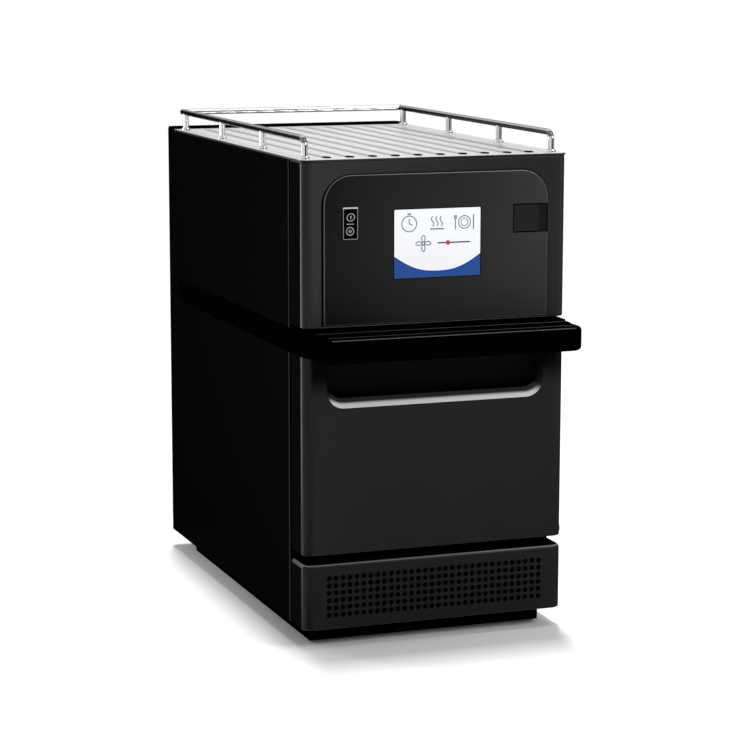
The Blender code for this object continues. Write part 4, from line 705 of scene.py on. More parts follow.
def eased_rows(low, high, low_edge, high_edge, steps=5):
    """The inset and height of each row up a wall with both its edges eased."""
    rows = [(inset, low + rise) for inset, rise in easing(low_edge, steps)]
    return rows + [(inset, high - rise) for inset, rise in reversed(easing(high_edge, steps))]


def round_front(half, depth, inset=0):
    """A plan from the front to this depth with its two front corners rounded."""
    tight = FRONT_CORNER - inset
    return rounded(inset - half, half - inset, inset, depth, (tight, tight, 0, 0))


def moulding(name, depth, low, high, low_edge, high_edge):
    """A front moulding with rounded upright corners, eased edges and a hollow back."""
    rows = eased_rows(low, high, low_edge, high_edge)
    made = plain_object(name, loft("Z", [(round_front(FRONT_HALF, depth, inset), z) for inset, z in rows]))
    inner, tight = FRONT_HALF - FRONT_WALL, FRONT_CORNER - FRONT_WALL
    hollow = rounded(-inner, inner, FRONT_WALL, depth + OVERRUN, (tight, tight, 0, 0))
    cut(made, prism("Z", hollow, low + FRONT_WALL, high - FRONT_WALL))
    return made


def make_flank_shades(name, low, high, body):
    """Painted shade: dark skins on both flanks of a front moulding, from behind its lit corner back, reaching
    further round the corner on the right.
    """
    outer, inner = FRONT_HALF + SKIN_RISE, FRONT_HALF - SKIN_RISE
    back = [(outer, FRONT_END - 0.0006), (inner, FRONT_END)]
    centre = (FRONT_HALF - FRONT_CORNER, FRONT_CORNER)
    skins = []
    for span in FLANK_SHADE_SPANS:
        under = arc(centre, FRONT_CORNER - SKIN_RISE, 0, -span, 5)
        over = arc(centre, FRONT_CORNER + SKIN_RISE, -span, span, 5)
        skins.append(prism("Z", [*under, *over, *back], low + 0.0005, high - FRONT_EDGE))
    left, right = skins
    make(name, together(mirrored(left), right), "flank_black", body, "gloss_black")


def make_side_edge_highlights():
    """Painted highlights: light strips on the folded front edges of the side panels, above and below the belt.
    """
    outer, inner = HALF_WIDTH + SKIN_RISE, HALF_WIDTH - SKIN_RISE
    outline = [(inner, SIDE_EDGE_FRONT), (outer, SIDE_EDGE_FRONT + 0.0010),
               (outer, SIDE_EDGE_BACK - 0.0015), (inner, SIDE_EDGE_BACK)]
    strips = [prism("Z", outline, low, high) for low, high in ((0.001, HANDLE_LOW), (DOOR_TOP, PLATE_UNDER))]
    edges = together(*strips, *(mirrored(strip) for strip in strips))
    make("side_front_edge_highlights", edges, "edge_grey", "casing", "black_steel")


def arch(grow):
    corner = ARCH_CORNER + grow
    return rounded(-ARCH_HALF - grow, ARCH_HALF + grow, ARCH_LOW - grow, ARCH_TOP + grow,
                   (0, 0, corner, corner), 24)


def opening(share):
    """The fascia's opening round the panel, from the edge of its soft flare (0) to its throat (1)."""
    outer = ARCH_GROOVE + ARCH_FLARE
    left = outer + (GAP_LEFT - outer) * share
    rest = outer + (GAP_REST - outer) * share
    return rounded(-ARCH_HALF - left, ARCH_HALF + rest, ARCH_LOW - rest, ARCH_TOP + rest,
                   (0, 0, ARCH_CORNER + rest, ARCH_CORNER + left), 24)


def make_fascia():
    fascia = moulding("fascia_moulding", FRONT_END, FASCIA_LOW, ROOF_TOP, FRONT_EDGE, FASCIA_EASE)
    roll = [(opening(0), -OVERRUN), (opening(0), 0)]
    for step in range(1, FLARE_STEPS + 1):
        turn = pi / 2 * step / FLARE_STEPS
        roll.append((opening(sin(turn)), FLARE_DEPTH * (1 - cos(turn))))
    roll.append((opening(1), FRONT_WALL + OVERRUN))
    cut(fascia, loft("Y", roll))
    dress(fascia, "charcoal", "casing", "charcoal", ["control_fascia"])
    make_flank_shades("fascia_flank_shade", FASCIA_LOW, ROOF_TOP, "casing")
    make_side_edge_highlights()


def make_panel():
    """The arched panel in its rim, with its window, switch hole and the recess of the USB cover."""
    panel = plain_object("arched_panel", prism("Y", arch(-RIM_WIDTH), -ARCH_PROUD, ARCH_BACK))
    low = FASCIA_LOW + FRONT_WALL + CLEARANCE
    wide = [(x, max(z, low)) for x, z in arch(ARCH_FLANGE)]
    combine(panel, "UNION", prism("Y", wide, ARCH_FLANGE_FACE, ARCH_BACK))
    front, back = -ARCH_PROUD - OVERRUN, ARCH_BACK + OVERRUN
    half = SCREEN_HALF + CLEARANCE
    window = rounded(-half, half, SCREEN_LOW - CLEARANCE, SCREEN_HIGH + CLEARANCE,
                     (SCREEN_CORNER + CLEARANCE,) * 4, 6)
    wall = 2 * CLEARANCE + CASE_WALL
    recess = block(USB_LEFT, USB_RIGHT, front, ARCH_FLANGE_FACE, USB_LOW, USB_HIGH)
    cut(panel, prism("Y", window, front, back), recess,
        hole(ROCKER_X, ROCKER_Z, ROCKER_HALF + wall, ROCKER_SWEEP + wall, front, back))
    cut(panel, hole(SOCKET_X, SOCKET_Z, SOCKET_HALF_WIDTH, SOCKET_HALF_HEIGHT, 0, back))
    dress(panel, "panel_charcoal", "casing", "charcoal", ["control_panel"])
    curve = [(arch(-RIM_WIDTH * inward), -ARCH_PROUD * proud) for inward, proud in RIM_CURVE]
    # Painted highlight: the rim is lighter than the panel, standing in for the light on its rounded edge
    rim = plain_object("panel_rim", loft("Y", [*curve, (arch(0), ARCH_FLANGE_FACE)]))
    cut(rim, prism("Y", arch(-RIM_WIDTH), front, back))
    cut(rim, recess)
    dress(rim, "rim_charcoal", "casing", "charcoal")
    seat = [(x, max(z, FASCIA_LOW + CLEARANCE)) for x, z in arch(ARCH_GROOVE)]
    gasket = plain_object("panel_gasket", prism("Y", seat, GASKET_FACE, GASKET_BACK))
    cut(gasket, prism("Y", arch(SKIN_RISE), -OVERRUN, ARCH_BACK))
    cut(gasket, recess)
    dress(gasket, "matt_black", "casing", "gloss_black")
    make_recess_shade()


def make_recess_shade():
    """Painted shade: a dark pad on the floor of the USB recess, open at the socket."""
    gap, square = SKIN_RISE, (0, 0, 0, 0)
    pad = rounded(USB_LEFT + gap, USB_RIGHT - gap, USB_LOW + gap, USB_HIGH - gap, square)
    mouth = rounded(SOCKET_X - SOCKET_HALF_WIDTH, SOCKET_X + SOCKET_HALF_WIDTH,
                    SOCKET_Z - SOCKET_HALF_HEIGHT, SOCKET_Z + SOCKET_HALF_HEIGHT, square)
    floor = [([*pad, *mouth], walls(4, 2))]
    decal("usb_recess_shade", floor, ARCH_FLANGE_FACE - FILM, "recess_black", "gloss_black")


# Door and handle


def scoop_section(side, foot):
    half = SCOOP_HALF + side
    corner = SCOOP_CORNER + side
    return rounded(-half, half, SCOOP_LOW - foot, SCOOP_TOP, (corner, corner, 0, 0), 16)


def lip_sections(out=0.0):
    """The scoop's flared lip, from the face of the door in, as a rounded ramp."""
    rows = []
    for step in range(LIP_STEPS + 1):
        share = step / LIP_STEPS
        flare = 1 - sin(share * pi / 2) * 0.5 - share * 0.5
        rows.append((scoop_section(LIP_SIDE * flare + out, LIP_HEIGHT * flare + out), LIP_DEPTH * share))
    return rows


def make_door():
    """The outer door: a pan with a scoop, two hinge bosses with their bores, and slots for the arms."""
    door = moulding("door_moulding", DOOR_DEPTH, DOOR_LOW, DOOR_TOP, FRONT_EDGE, FRONT_EDGE)
    wall = FRONT_WALL
    combine(door, "UNION", loft("Y", [
        (scoop_section(LIP_SIDE + wall, LIP_HEIGHT + wall), wall / 2),
        (scoop_section(wall, wall), LIP_DEPTH + wall / 2),
        (scoop_section(wall, wall), SCOOP_DEPTH + wall),
    ]))
    axis = (HINGE_DEPTH, PIVOT_Z)
    boss = turned("X", axis, ((BOSS_RADIUS, BOSS_START), (BOSS_RADIUS, FRONT_HALF - wall / 2)))
    combine(door, "UNION", boss, mirrored(boss))
    mouth = lip_sections()
    pocket = loft("Y", [(mouth[0][0], -OVERRUN), *mouth, (scoop_section(0, 0), SCOOP_DEPTH)])
    bore = turned("X", axis, ((PIN_BORE, BOSS_START - OVERRUN), (PIN_BORE, PIN_FAR)))
    cut(door, pocket, bore, mirrored(bore))
    front, back = HINGE_DEPTH - ARM_REACH, DOOR_DEPTH + OVERRUN
    cut(door, *(block(x - ARM_SLOT, x + ARM_SLOT, front, back, DOOR_LOW - OVERRUN, PIVOT_Z + ARM_REACH)
                for x in (-ARM_X, ARM_X)))
    dress(door, "door_charcoal", "door", "charcoal", ["door_shell"])
    make_flank_shades("door_flank_shade", DOOR_LOW, HANDLE_LOW + FRONT_EDGE, "door")
    make_scoop_lip_highlight()
    make_scoop_shade()


def make_scoop_lip_highlight():
    """A painted highlight: a bright band along the lower lip of the scoop, fading out round its corners."""
    rows = lip_sections(-FILM)
    points = [(u, y, v) for outline, y in rows for u, v in outline]
    faces = [face for face in walls(len(rows[0][0]), len(rows), False)
             if all(points[corner][2] < SCOOP_LOW + LIP_HIGHLIGHT_BAND for corner in face)]
    used = sorted({corner for face in faces for corner in face})
    index = {old: new for new, old in enumerate(used)}
    shape = [points[old] for old in used], [tuple(index[corner] for corner in face) for face in faces]
    make("scoop_lip_highlight", shape, "lip_satin", "door", "charcoal")


def make_scoop_shade():
    """Painted shade: a dark skin over the scoop's deep part."""
    half = SCOOP_HALF - FILM
    outline = rounded(-half, half, SCOOP_LOW + FILM, SCOOP_TOP, (SCOOP_CORNER, SCOOP_CORNER, 0, 0), 16)
    count = len(outline)
    points = [(u, y, v) for y in (LIP_DEPTH, SCOOP_DEPTH - FILM) for u, v in outline]
    liner = plain_object("scoop_shade_liner", (points, [*walls(count, 2), tuple(range(count, 2 * count))]))
    liner.data.flip_normals()
    dress(liner, "scoop_black", "door", "charcoal")


def make_handle():
    """The full-width bar, rounded along its front and round its ends, with a ledge along its back."""
    rows = []
    for inset, z in eased_rows(HANDLE_LOW, HANDLE_TOP, HANDLE_EDGE, HANDLE_EDGE, 8):
        tight = HANDLE_CORNER - inset
        rows.append((rounded(inset - FRONT_HALF, FRONT_HALF - inset, inset - HANDLE_REACH, -CLEARANCE,
                             (tight, tight, 0, 0), 20), z))
    handle = plain_object("handle_bar", loft("Z", rows))
    half = FRONT_HALF - HANDLE_EDGE
    foot, tip = ([(-half, front), (half, front), (half, -CLEARANCE), (-half, -CLEARANCE)]
                 for front in (-HANDLE_LEDGE - HANDLE_STEP, -HANDLE_LEDGE))
    combine(handle, "UNION", loft("Z", [(foot, HANDLE_LOW + HANDLE_EDGE), (foot, HANDLE_TOP), (tip, DOOR_TOP)]))
    half = FRONT_HALF - GRIP_CHEEK
    grip = rounded(-half, half, GRIP_DEPTH - HANDLE_REACH, OVERRUN, (GRIP_CORNER, GRIP_CORNER, 0, 0), 6)
    cut(handle, prism("Z", grip, HANDLE_LOW - OVERRUN, DOOR_TOP - GRIP_ROOF))
    dress(handle, "handle_black", "door", "gloss_black", ["door_handle"], 0.0003, 35)
    make_handle_wrap()
    make_handle_highlights()


def make_handle_wrap():
    """The black return of the handle round the corners and over the top of the door."""
    outer, under = FRONT_HALF + SKIN_RISE, FRONT_HALF - SKIN_ROOT
    middle, back = FRONT_HALF - FRONT_CORNER, DOOR_DEPTH - SKIN_ROOT
    corner = arc((middle, FRONT_CORNER), FRONT_CORNER - SKIN_ROOT, 0, -pi / 2, 10)
    outline = [(outer, -CLEARANCE), (outer, back), (under, back), *corner, (middle, -CLEARANCE)]
    side = prism("Z", outline, HANDLE_LOW, DOOR_TOP + SKIN_RISE)
    wrap = plain_object("handle_wrap", together(side, mirrored(side)))
    lid = round_front(FRONT_HALF, DOOR_DEPTH, SKIN_ROOT)
    combine(wrap, "UNION", prism("Z", lid, DOOR_TOP - SKIN_ROOT, DOOR_TOP + SKIN_RISE))
    dress(wrap, "gloss_black", "door", "gloss_black")


def make_handle_highlights():
    """Painted highlights: fine light rods along the handle's front edge, its ledge and its top."""
    front = (HANDLE_EDGE * 0.36 - HANDLE_REACH, HANDLE_TOP - HANDLE_EDGE * 0.24)
    for name, left, right, centre, radius, material in (
        ("handle_edge_highlight", -0.161, 0.163, front, 0.0006, "handle_line"),
        ("handle_ledge_highlight", -0.166, 0.166, (-0.018, DOOR_TOP), 0.0006, "handle_faint"),
        ("handle_middle_highlight", -0.160, 0.165, (-0.046, HANDLE_TOP), 0.0005, "handle_faint"),
    ):
        make(name, prism("X", circle(centre, radius, 12), left, right), material, "door", "gloss_black")


# Air filter panel


def hole_centres():
    return [(x, FILTER_HEIGHT / 2 + z) for x in spread(HOLE_COLUMNS, HOLE_COLUMN_PITCH)
            for z in spread(HOLE_ROWS, HOLE_ROW_PITCH)]


def make_filter_panel():
    """The foot moulding with its field of round holes, with painted shade in their bores and on its top and
    flanks.
    """
    panel = moulding("filter_moulding", FRONT_END, 0, FILTER_HEIGHT, FRONT_EDGE, FILTER_TOP_EDGE)
    wide = HOLE_RADIUS + HOLE_EASE
    profile = ((wide, -OVERRUN), (wide, 0.00001), (HOLE_RADIUS, 0.0004), (HOLE_RADIUS, FRONT_WALL + OVERRUN))
    cut(panel, *(turned("Y", centre, profile, HOLE_SIDES) for centre in hole_centres()))
    dress(panel, "base_charcoal", "filter_panel", "charcoal", ["air_filter_panel"])
    make_flank_shades("base_flank_shade", 0, FILTER_HEIGHT - FILTER_TOP_EDGE + FRONT_EDGE, "filter_panel")
    make_base_edge_highlight()
    lid = prism("Z", round_front(FRONT_HALF, FRONT_END, 0.0030), FILTER_HEIGHT - SKIN_ROOT,
                FILTER_HEIGHT + SKIN_RISE)
    make("base_top_shade", lid, "flank_black", "filter_panel", "gloss_black")
    bores = []
    for centre in hole_centres():
        ends = circle(centre, HOLE_RADIUS - 0.00003, HOLE_SIDES)
        points = [(u, y, v) for y in (0.00045, FRONT_WALL + SKIN_RISE) for u, v in ends]
        bores.append((points, walls(HOLE_SIDES, 2)))
    liners = plain_object("perforation_bore_shades", together(*bores))
    liners.data.flip_normals()
    dress(liners, "flank_black", "filter_panel", "gloss_black")


def make_base_edge_highlight():
    """A painted highlight: a narrow light line on the rounded upper edge of the foot, between two angles of the
    rounding.
    """
    first, last = BASE_HIGHLIGHT_SPAN
    reach = FILTER_TOP_EDGE + SKIN_RISE * 0.6
    points = []
    for step in range(4):
        turn = radians(first + (last - first) * step / 3)
        height = FILTER_HEIGHT - FILTER_TOP_EDGE + reach * cos(turn)
        plan = round_front(FRONT_HALF, FRONT_END, FILTER_TOP_EDGE - reach * sin(turn))
        points += [(x, y, height) for x, y in plan[-1:] + plan[:-1]]
    line = (points, walls(len(plan), 4, False))
    make("base_edge_highlight_strip", line, "base_line", "filter_panel", "charcoal", crease=80)


# Top plate and guard rail


def make_top_plate():
    """A plate with rounded grooves that run out at both ends, and an oval drain in each."""
    centres = spread(GROOVE_COUNT, GROOVE_PITCH)
    fade = GROOVE_WIDTH / 2
    xs = [-HALF_WIDTH - OVERRUN, HALF_WIDTH + OVERRUN]
    xs[1:1] = [centre + fade * (-1 + 2 * i / GROOVE_STEPS) for centre in centres
               for i in range(GROOVE_STEPS + 1)]
    ys = [-OVERRUN, *(GROOVE_FRONT + fade * i / FADE_STEPS for i in range(FADE_STEPS + 1)),
          *(GROOVE_REAR - fade * i / FADE_STEPS for i in range(FADE_STEPS, -1, -1)), WRAP_DEPTH - CLEARANCE]

    def depth(x, y):
        nearest = min(abs(x - centre) for centre in centres) / fade
        if nearest >= 1:
            return 0
        reach = min(y - GROOVE_FRONT, GROOVE_REAR - y) / fade
        end = sin(min(max(reach, 0), 1) * pi / 2)
        return GROOVE_DEPTH * end * (1 + cos(pi * nearest)) / 2

    wide = len(xs)
    points = [(x, y, BODY_HEIGHT - depth(x, y)) for y in ys for x in xs]
    under, last = len(points), len(points) - wide
    points += [(x, y, PLATE_UNDER) for y in (ys[0], ys[-1]) for x in (xs[0], xs[-1])]
    faces = [
        *walls(wide, len(ys), False), (under, under + 1, under + 3, under + 2),
        (under, *range(wide), under + 1), (under + 2, *range(last, last + wide), under + 3),
        (under, *range(0, last + 1, wide), under + 2),
        (under + 1, *range(wide - 1, last + wide, wide), under + 3),
    ]
    plate = plain_object("grooved_plate", (points, faces))
    through = (PLATE_UNDER - OVERRUN, BODY_HEIGHT + OVERRUN)
    combine(plate, "INTERSECT", prism("Z", round_front(HALF_WIDTH, WRAP_DEPTH, TRAY_RIM), *through))
    cut(plate, *(prism("Z", drain(x), *through) for x in centres))
    dress(plate, "white_steel", "casing", "white_steel", ["top_plate"], 0.0004, 50)
    bushes = plain_object("drain_bushes", together(*(
        prism("Z", drain(x, GROMMET_WALL), PLATE_UNDER, BODY_HEIGHT + GROMMET_RISE) for x in centres)))
    cut(bushes, *(prism("Z", drain(x, -0.0002), *through) for x in centres))
    dress(bushes, "matt_black", "casing", "rubber", bevel=0.0002)
    rim = plain_object("plate_tray_rim", prism("Z", round_front(HALF_WIDTH, WRAP_DEPTH), PLATE_UNDER,
                                               BODY_HEIGHT - CLEARANCE))
    cut(rim, prism("Z", round_front(HALF_WIDTH, WRAP_DEPTH + OVERRUN, TRAY_RIM), *through))
    dress(rim, "charcoal", "casing", "charcoal", bevel=0.0001)
    make_rear_hem()


def drain(x, grow=0.0):
    half = DRAIN_WIDTH / 2 + grow
    return rounded(x - half, x + half, DRAIN_FRONT - grow, DRAIN_REAR + grow, (half * 0.999,) * 4, 8)


def make_rear_hem():
    """The folded hem of the rear cover, standing a little above the plate."""
    half = HALF_WIDTH - 0.0002
    rows = []
    for inset, rise in easing(HEM_RISE):
        tight = HEM_CORNER - inset
        plan = rounded(inset - half, half - inset, WRAP_DEPTH + 0.0004 + inset, BODY_DEPTH - 0.0002 - inset,
                       (0.002, 0.002, tight, tight))
        rows.append((plan, BODY_HEIGHT + HEM_RISE - rise))
    rows.append((plan, BODY_HEIGHT - 0.0002))
    make("rear_hem", loft("Z", rows), "gloss_black", "casing", "black_steel")


def make_guard_rail():
    """Two side rails with their front legs, a back rail between them, and three posts a side."""
    seat = BODY_HEIGHT + CLEARANCE
    collar = [(COLLAR_RADIUS * share, seat + COLLAR_HEIGHT * rise) for share, rise in COLLAR_CURVE]
    collar.append((ROD_RADIUS, seat + COLLAR_HEIGHT))
    bend = arc((RAIL_LEG_DEPTH + RAIL_BEND, RAIL_Z - RAIL_BEND), RAIL_BEND, pi, -pi / 2, 14)
    rear = RAIL_REAR_DEPTH + ROD_RADIUS
    route = [(RAIL_LEG_DEPTH, seat), *bend, (rear - CAP_LENGTH, RAIL_Z)]
    cap = ((ROD_RADIUS, rear - CAP_LENGTH), (ROD_RADIUS * 0.93, rear - CAP_SHOULDER), (ROD_RADIUS * 0.72, rear))
    shape = together(
        tube([(RAIL_X, y, z) for y, z in route], ROD_RADIUS),
        turned("Z", (RAIL_X, RAIL_LEG_DEPTH), [*collar, (0.003, seat + COLLAR_HEIGHT)]),
        turned("Y", (RAIL_X, RAIL_Z), cap, 24),
    )
    for side, sided in (("left", mirrored(shape)), ("right", shape)):
        make(f"side_rail_{side}", sided, "side_rail_steel", "casing", "polished_steel",
             [f"rail_{side}"], crease=40)
    reach = RAIL_X - ROD_RADIUS * 0.5
    profile = [(ROD_RADIUS, x) for x in (-reach, 0, reach)]
    back = turned("X", (RAIL_REAR_DEPTH, RAIL_Z), profile, 24)
    make("back_rail", back, "rear_rail_steel", "casing", "polished_steel", ["rail_rear"], crease=40)
    profile = [*collar, (ROD_RADIUS, RAIL_Z - ROD_RADIUS / 2)]
    for index, y in enumerate(POST_DEPTHS, 1):
        for side, x in (("left", -RAIL_X), ("right", RAIL_X)):
            make(f"guard_post_{side}_{index}", turned("Z", (x, y), profile, 24), "polished_steel", "casing",
                 "polished_steel", [f"rail_post_{side}_{index}"], crease=40)


# Control panel details: flat shapes are (x, z) corners with faces


def ribbon(points, width, closed=False):
    """A flat line of this width through these points."""
    count = len(points)
    spots = [Vector(p) for p in points]
    corners = []
    for i, spot in enumerate(spots):
        before = spots[i - 1] if closed or i else spot
        after = spots[(i + 1) % count] if closed or i < count - 1 else spot
        heading = (after - before).normalized()
        side = Vector((-heading.y, heading.x)) * (width / 2)
        corners += [spot + side, spot - side]
    total = 2 * count
    faces = [(i, i + 1, (i + 3) % total, (i + 2) % total) for i in range(0, total if closed else total - 2, 2)]
    return corners, faces


def ring(radius, width, centre=(0, 0), sides=28):
    return ribbon(circle(centre, radius, sides), width, True)


def filled(outline):
    return outline, [tuple(range(len(outline)))]


def flat_object(name, shapes, at):
    """Flat shapes as one piece that faces the front, with each corner where at(x, z) puts it."""
    made = plain_object(name, together(*(([at(x, z) for x, z in corners], faces) for corners, faces in shapes)))
    for polygon in made.data.polygons:
        if polygon.normal.y > 0:
            polygon.flip()
    return made


def decal(name, shapes, depth, material, slot):
    dress(flat_object(name, shapes, lambda x, z: (x, depth, z)), material, "casing", slot)


def clock_icon():
    return [ring(0.0082, LINE), ribbon([(0, 0), (0, 0.0052)], LINE), ribbon([(0, 0), (0.0036, -0.0014)], LINE),
            ribbon([(-0.002, 0.0102), (0.002, 0.0102)], LINE * 1.4)]


def heat_icon():
    waves = [ribbon([(shift + 0.0014 * sin(tau * i / 16), -0.0035 + 0.0105 * i / 16) for i in range(17)], LINE)
             for shift in (-0.0048, 0, 0.0048)]
    return [*waves, ribbon([(-0.0078, -0.0062), (0.0078, -0.0062)], LINE * 1.3)]


def plate_icon():
    tines = [ribbon([(x, 0.0075), (x, 0.0032)], LINE * 0.8) for x in (-0.0114, -0.0102, -0.0090)]
    return [ring(0.0066, LINE), ring(0.0040, LINE * 0.8), *tines,
            ribbon([(-0.0102, 0.0036), (-0.0102, -0.0078)], LINE),
            ribbon([(0.0102, 0.0076), (0.0102, -0.0078)], LINE * 1.2)]


def fan_icon():
    shapes = [ring(0.0016, LINE)]
    for start in (0, pi / 2, pi, pi * 1.5):
        leaf = []
        for i in range(15):
            radius = 0.0020 + 0.0064 * sin(pi * i / 14)
            angle = start + (i / 14 - 0.5) * 1.1
            leaf.append((radius * cos(angle), radius * sin(angle)))
        shapes.append(ribbon(leaf, LINE, True))
    return shapes


def make_screen_menu():
    """A plain menu: a pale ground, a blue foot with a rising edge, four pictograms and a slider."""
    left, right = MENU_INSET - SCREEN_HALF, SCREEN_HALF - MENU_INSET
    low, high = SCREEN_LOW + MENU_INSET, SCREEN_HIGH - MENU_INSET
    edge = []
    for i in range(MENU_STEPS + 1):
        share = i / MENU_STEPS
        edge.append((left + (right - left) * share, low + FOOT_LOW + FOOT_RISE * (1 - sin(pi * share)) ** 1.3))
    upper, lower = high - 0.018, high - 0.043
    icons = []
    for icon, x, z in ((clock_icon, -0.038, upper), (heat_icon, -0.001, upper), (plate_icon, 0.036, upper),
                       (fan_icon, -0.019, lower)):
        icons += [([(x + u * ICON_SCALE, z + v * ICON_SCALE) for u, v in corners], faces)
                  for corners, faces in icon()]
    ground = rounded(left, right, low, high, (MENU_CORNER,) * 4, 4)
    bar = rounded(0.0, 0.044, lower - 0.0009, lower + 0.0009, (0.0008,) * 4, 4)
    for name, shapes, layer, material in (
        ("menu_ground", [filled(ground)], 1, "menu_pale"),
        ("menu_foot", [filled([(right, low), (left, low), *edge])], 2, "menu_blue"),
        ("menu_foot_line", [ribbon(edge, 0.0011)], 2.75, "menu_navy"),
        ("menu_icons", icons, 2, "menu_line"),
        ("menu_slider", [filled(bar)], 2, "menu_line"),
        ("menu_slider_knob", [filled(circle((0.014, lower), 0.0030, 24))], 3, "menu_red"),
    ):
        decal(name, shapes, SCREEN_FACE - LAYER * layer, material, "screen_glass")


def make_bezel_highlight():
    """Painted highlights: the light edge of the switch frame, with its brighter upper bar."""
    wide, tall = ROCKER_HALF + BEZEL, ROCKER_SWEEP + BEZEL
    x, z = wide - BEZEL_LINE / 2, tall - BEZEL_LINE / 2
    corners = [(ROCKER_X + a * x, ROCKER_Z + b * z) for a, b in ((-1, -1), (1, -1), (1, 1), (-1, 1))]
    edges = [ribbon([a, b], BEZEL_LINE) for a, b in zip(corners, corners[1:] + corners[:1])]
    decal("switch_frame_highlight", edges, BEZEL_FACE - LAYER, "mark_grey", "gloss_black")
    bar = [(ROCKER_X + a * wide, ROCKER_Z + tall - BEZEL_LINE) for a in (-1, 1)]
    decal("switch_frame_top_highlight", [ribbon(bar, 2 * BEZEL_LINE)], BEZEL_FACE - FILM, "mark_pale", "gloss_black")


def rocker_spot(y, z):
    """A point of the upright rocker, tipped to its rest and put in the oven's own frame."""
    spot = Matrix.Rotation(ROCKER_TILT, 3, "X") @ Vector((0, y, z))
    return spot.y + ROCKER_AXIS_DEPTH, spot.z + ROCKER_Z


def rocker_face(z):
    return -ROCKER_EAR + ROCKER_DISH * (1 - abs(z) / ROCKER_END)


def make_rocker():
    """The rocker: ears that sweep round its axis, a blunt back and a face that dips to the middle."""
    start = atan2(ROCKER_END, ROCKER_EAR)
    ear = arc((0, 0), ROCKER_SWEEP, start, pi / 2 - start, 6)
    upper = [(-y, z) for y, z in ear]
    lower = [(y, -z) for y, z in reversed(upper)]
    heights = [ROCKER_END * (-1 + 2 * i / 16) for i in range(1, 16)]
    section = [*upper, (ROCKER_BACK, 0), *lower, *((rocker_face(z), z) for z in heights)]
    outline = [rocker_spot(y, z) for y, z in section]
    shape = prism("X", outline, ROCKER_X - ROCKER_HALF, ROCKER_X + ROCKER_HALF)
    make("rocker_cap", shape, "handle_black", "rocker", "gloss_black", ["power_rocker"], 0.0004)


def make_rocker_marks():
    """The ring marks at the two ends, with a stroke in one and a dot in the other, and a middle rib."""
    top, foot = MARK_PLACE, -MARK_PLACE
    shapes = [
        ring(MARK_RADIUS, 0.0011, (0, top), 24), ribbon([(0, top - 0.0020), (0, top + 0.0020)], 0.0015),
        ring(MARK_RADIUS, 0.0011, (0, foot), 24), ring(0.0014, 0.0010, (0, foot), 16),
        ribbon([(-MARK_RADIUS, 0), (MARK_RADIUS, 0)], 0.0010),
    ]
    marks = flat_object("rocker_marks", shapes,
                        lambda x, z: (ROCKER_X + x, *rocker_spot(rocker_face(z) - FILM, z)))
    dress(marks, "mark_ring", "rocker", "gloss_black")


def make_flap():
    """The USB cover: a thin tile with a channel round its raised middle."""
    corners = (0, FLAP_CORNER, FLAP_CORNER, 0)
    face = rounded(FLAP_LEFT, FLAP_RIGHT, FLAP_LOW, FLAP_HIGH, corners, 6)
    flap = plain_object("usb_tile", prism("Y", face, FLAP_FACE, FLAP_BACK))
    outer, inner = (
        rounded(FLAP_LEFT + FLAP_BORDER + inset, FLAP_RIGHT - FLAP_GRIP - inset,
                FLAP_LOW + FLAP_BORDER + inset, FLAP_HIGH - FLAP_BORDER - inset, (0.001,) * 4, 4)
        for inset in (0, FLAP_CHANNEL_WIDTH)
    )
    floor = FLAP_FACE + FLAP_CHANNEL_DEPTH
    channel = plain_object("channel", prism("Y", outer, FLAP_FACE - OVERRUN, floor))
    cut(channel, prism("Y", inner, FLAP_FACE - OVERRUN * 2, FLAP_FACE + OVERRUN))
    points = [tuple(vertex.co - place(0, 0, 0)) for vertex in channel.data.vertices]
    faces = [tuple(polygon.vertices) for polygon in channel.data.polygons]
    bpy.data.objects.remove(channel, do_unlink=True)
    cut(flap, (points, faces))
    dress(flap, "flap_black", "usb_cover", "gloss_black", ["usb_flap"], 0.0003)


def make_screws():
    """The pan heads with cross recesses that hold the rear cover to the back edge."""
    face = BODY_DEPTH - SKIN_RISE
    profile = [(SCREW_RADIUS * share, face + SCREW_RISE * rise) for share, rise in SCREW_CURVE]
    places = [(x, z) for x in SCREW_COLUMNS for z in SCREW_ROWS]
    screws = plain_object("rear_screws", together(*(turned("Y", centre, profile, 16) for centre in places)))
    floor = BODY_DEPTH + SCREW_SLOT_FLOOR
    for x, z in places:
        for wide, tall in (SCREW_SLOT, SCREW_SLOT[::-1]):
            cut(screws, hole(x, z, wide, tall, floor, BODY_DEPTH + 0.01))
    dress(screws, "stainless", "casing", "stainless", crease=40)


# Studio


def seen_by_camera(nodes, plain, shown, output):
    """Gives one shader to the rays that see the background and the plain one to all others."""
    path = nodes.node("ShaderNodeLightPath")
    ray = path.outputs["Is Camera Ray"]
    for kind in ("Is Glossy Ray", "Is Transmission Ray"):
        ray = nodes.node("ShaderNodeMath", {0: ray, 1: path.outputs[kind]}, operation="MAXIMUM").outputs[0]
    mix = nodes.node("ShaderNodeMixShader", {0: ray, 1: plain.outputs[0], 2: shown.outputs[0]})
    nodes.node(output, {"Surface": mix.outputs[0]})


def floor_material():
    """White for the camera and for reflections, with the object's shadow kept."""
    made = bpy.data.materials.new("floor")
    nodes = Nodes(made)
    nodes.tree.nodes.clear()
    matte = nodes.node("ShaderNodeBsdfDiffuse", {"Color": (FLOOR_COLOUR,) * 3 + (1,)})
    glow = nodes.node("ShaderNodeEmission", {"Strength": FLOOR_GLOW})
    both = nodes.node("ShaderNodeAddShader", {0: matte.outputs[0], 1: glow.outputs[0]})
    seen_by_camera(nodes, matte, both, "ShaderNodeOutputMaterial")
    return made


def sheet(name, corners, material):
    mesh = bpy.data.meshes.new(name)
    mesh.from_pydata(corners, [], [tuple(range(len(corners)))])
    mesh.materials.append(material)
    return in_scene(name, mesh)


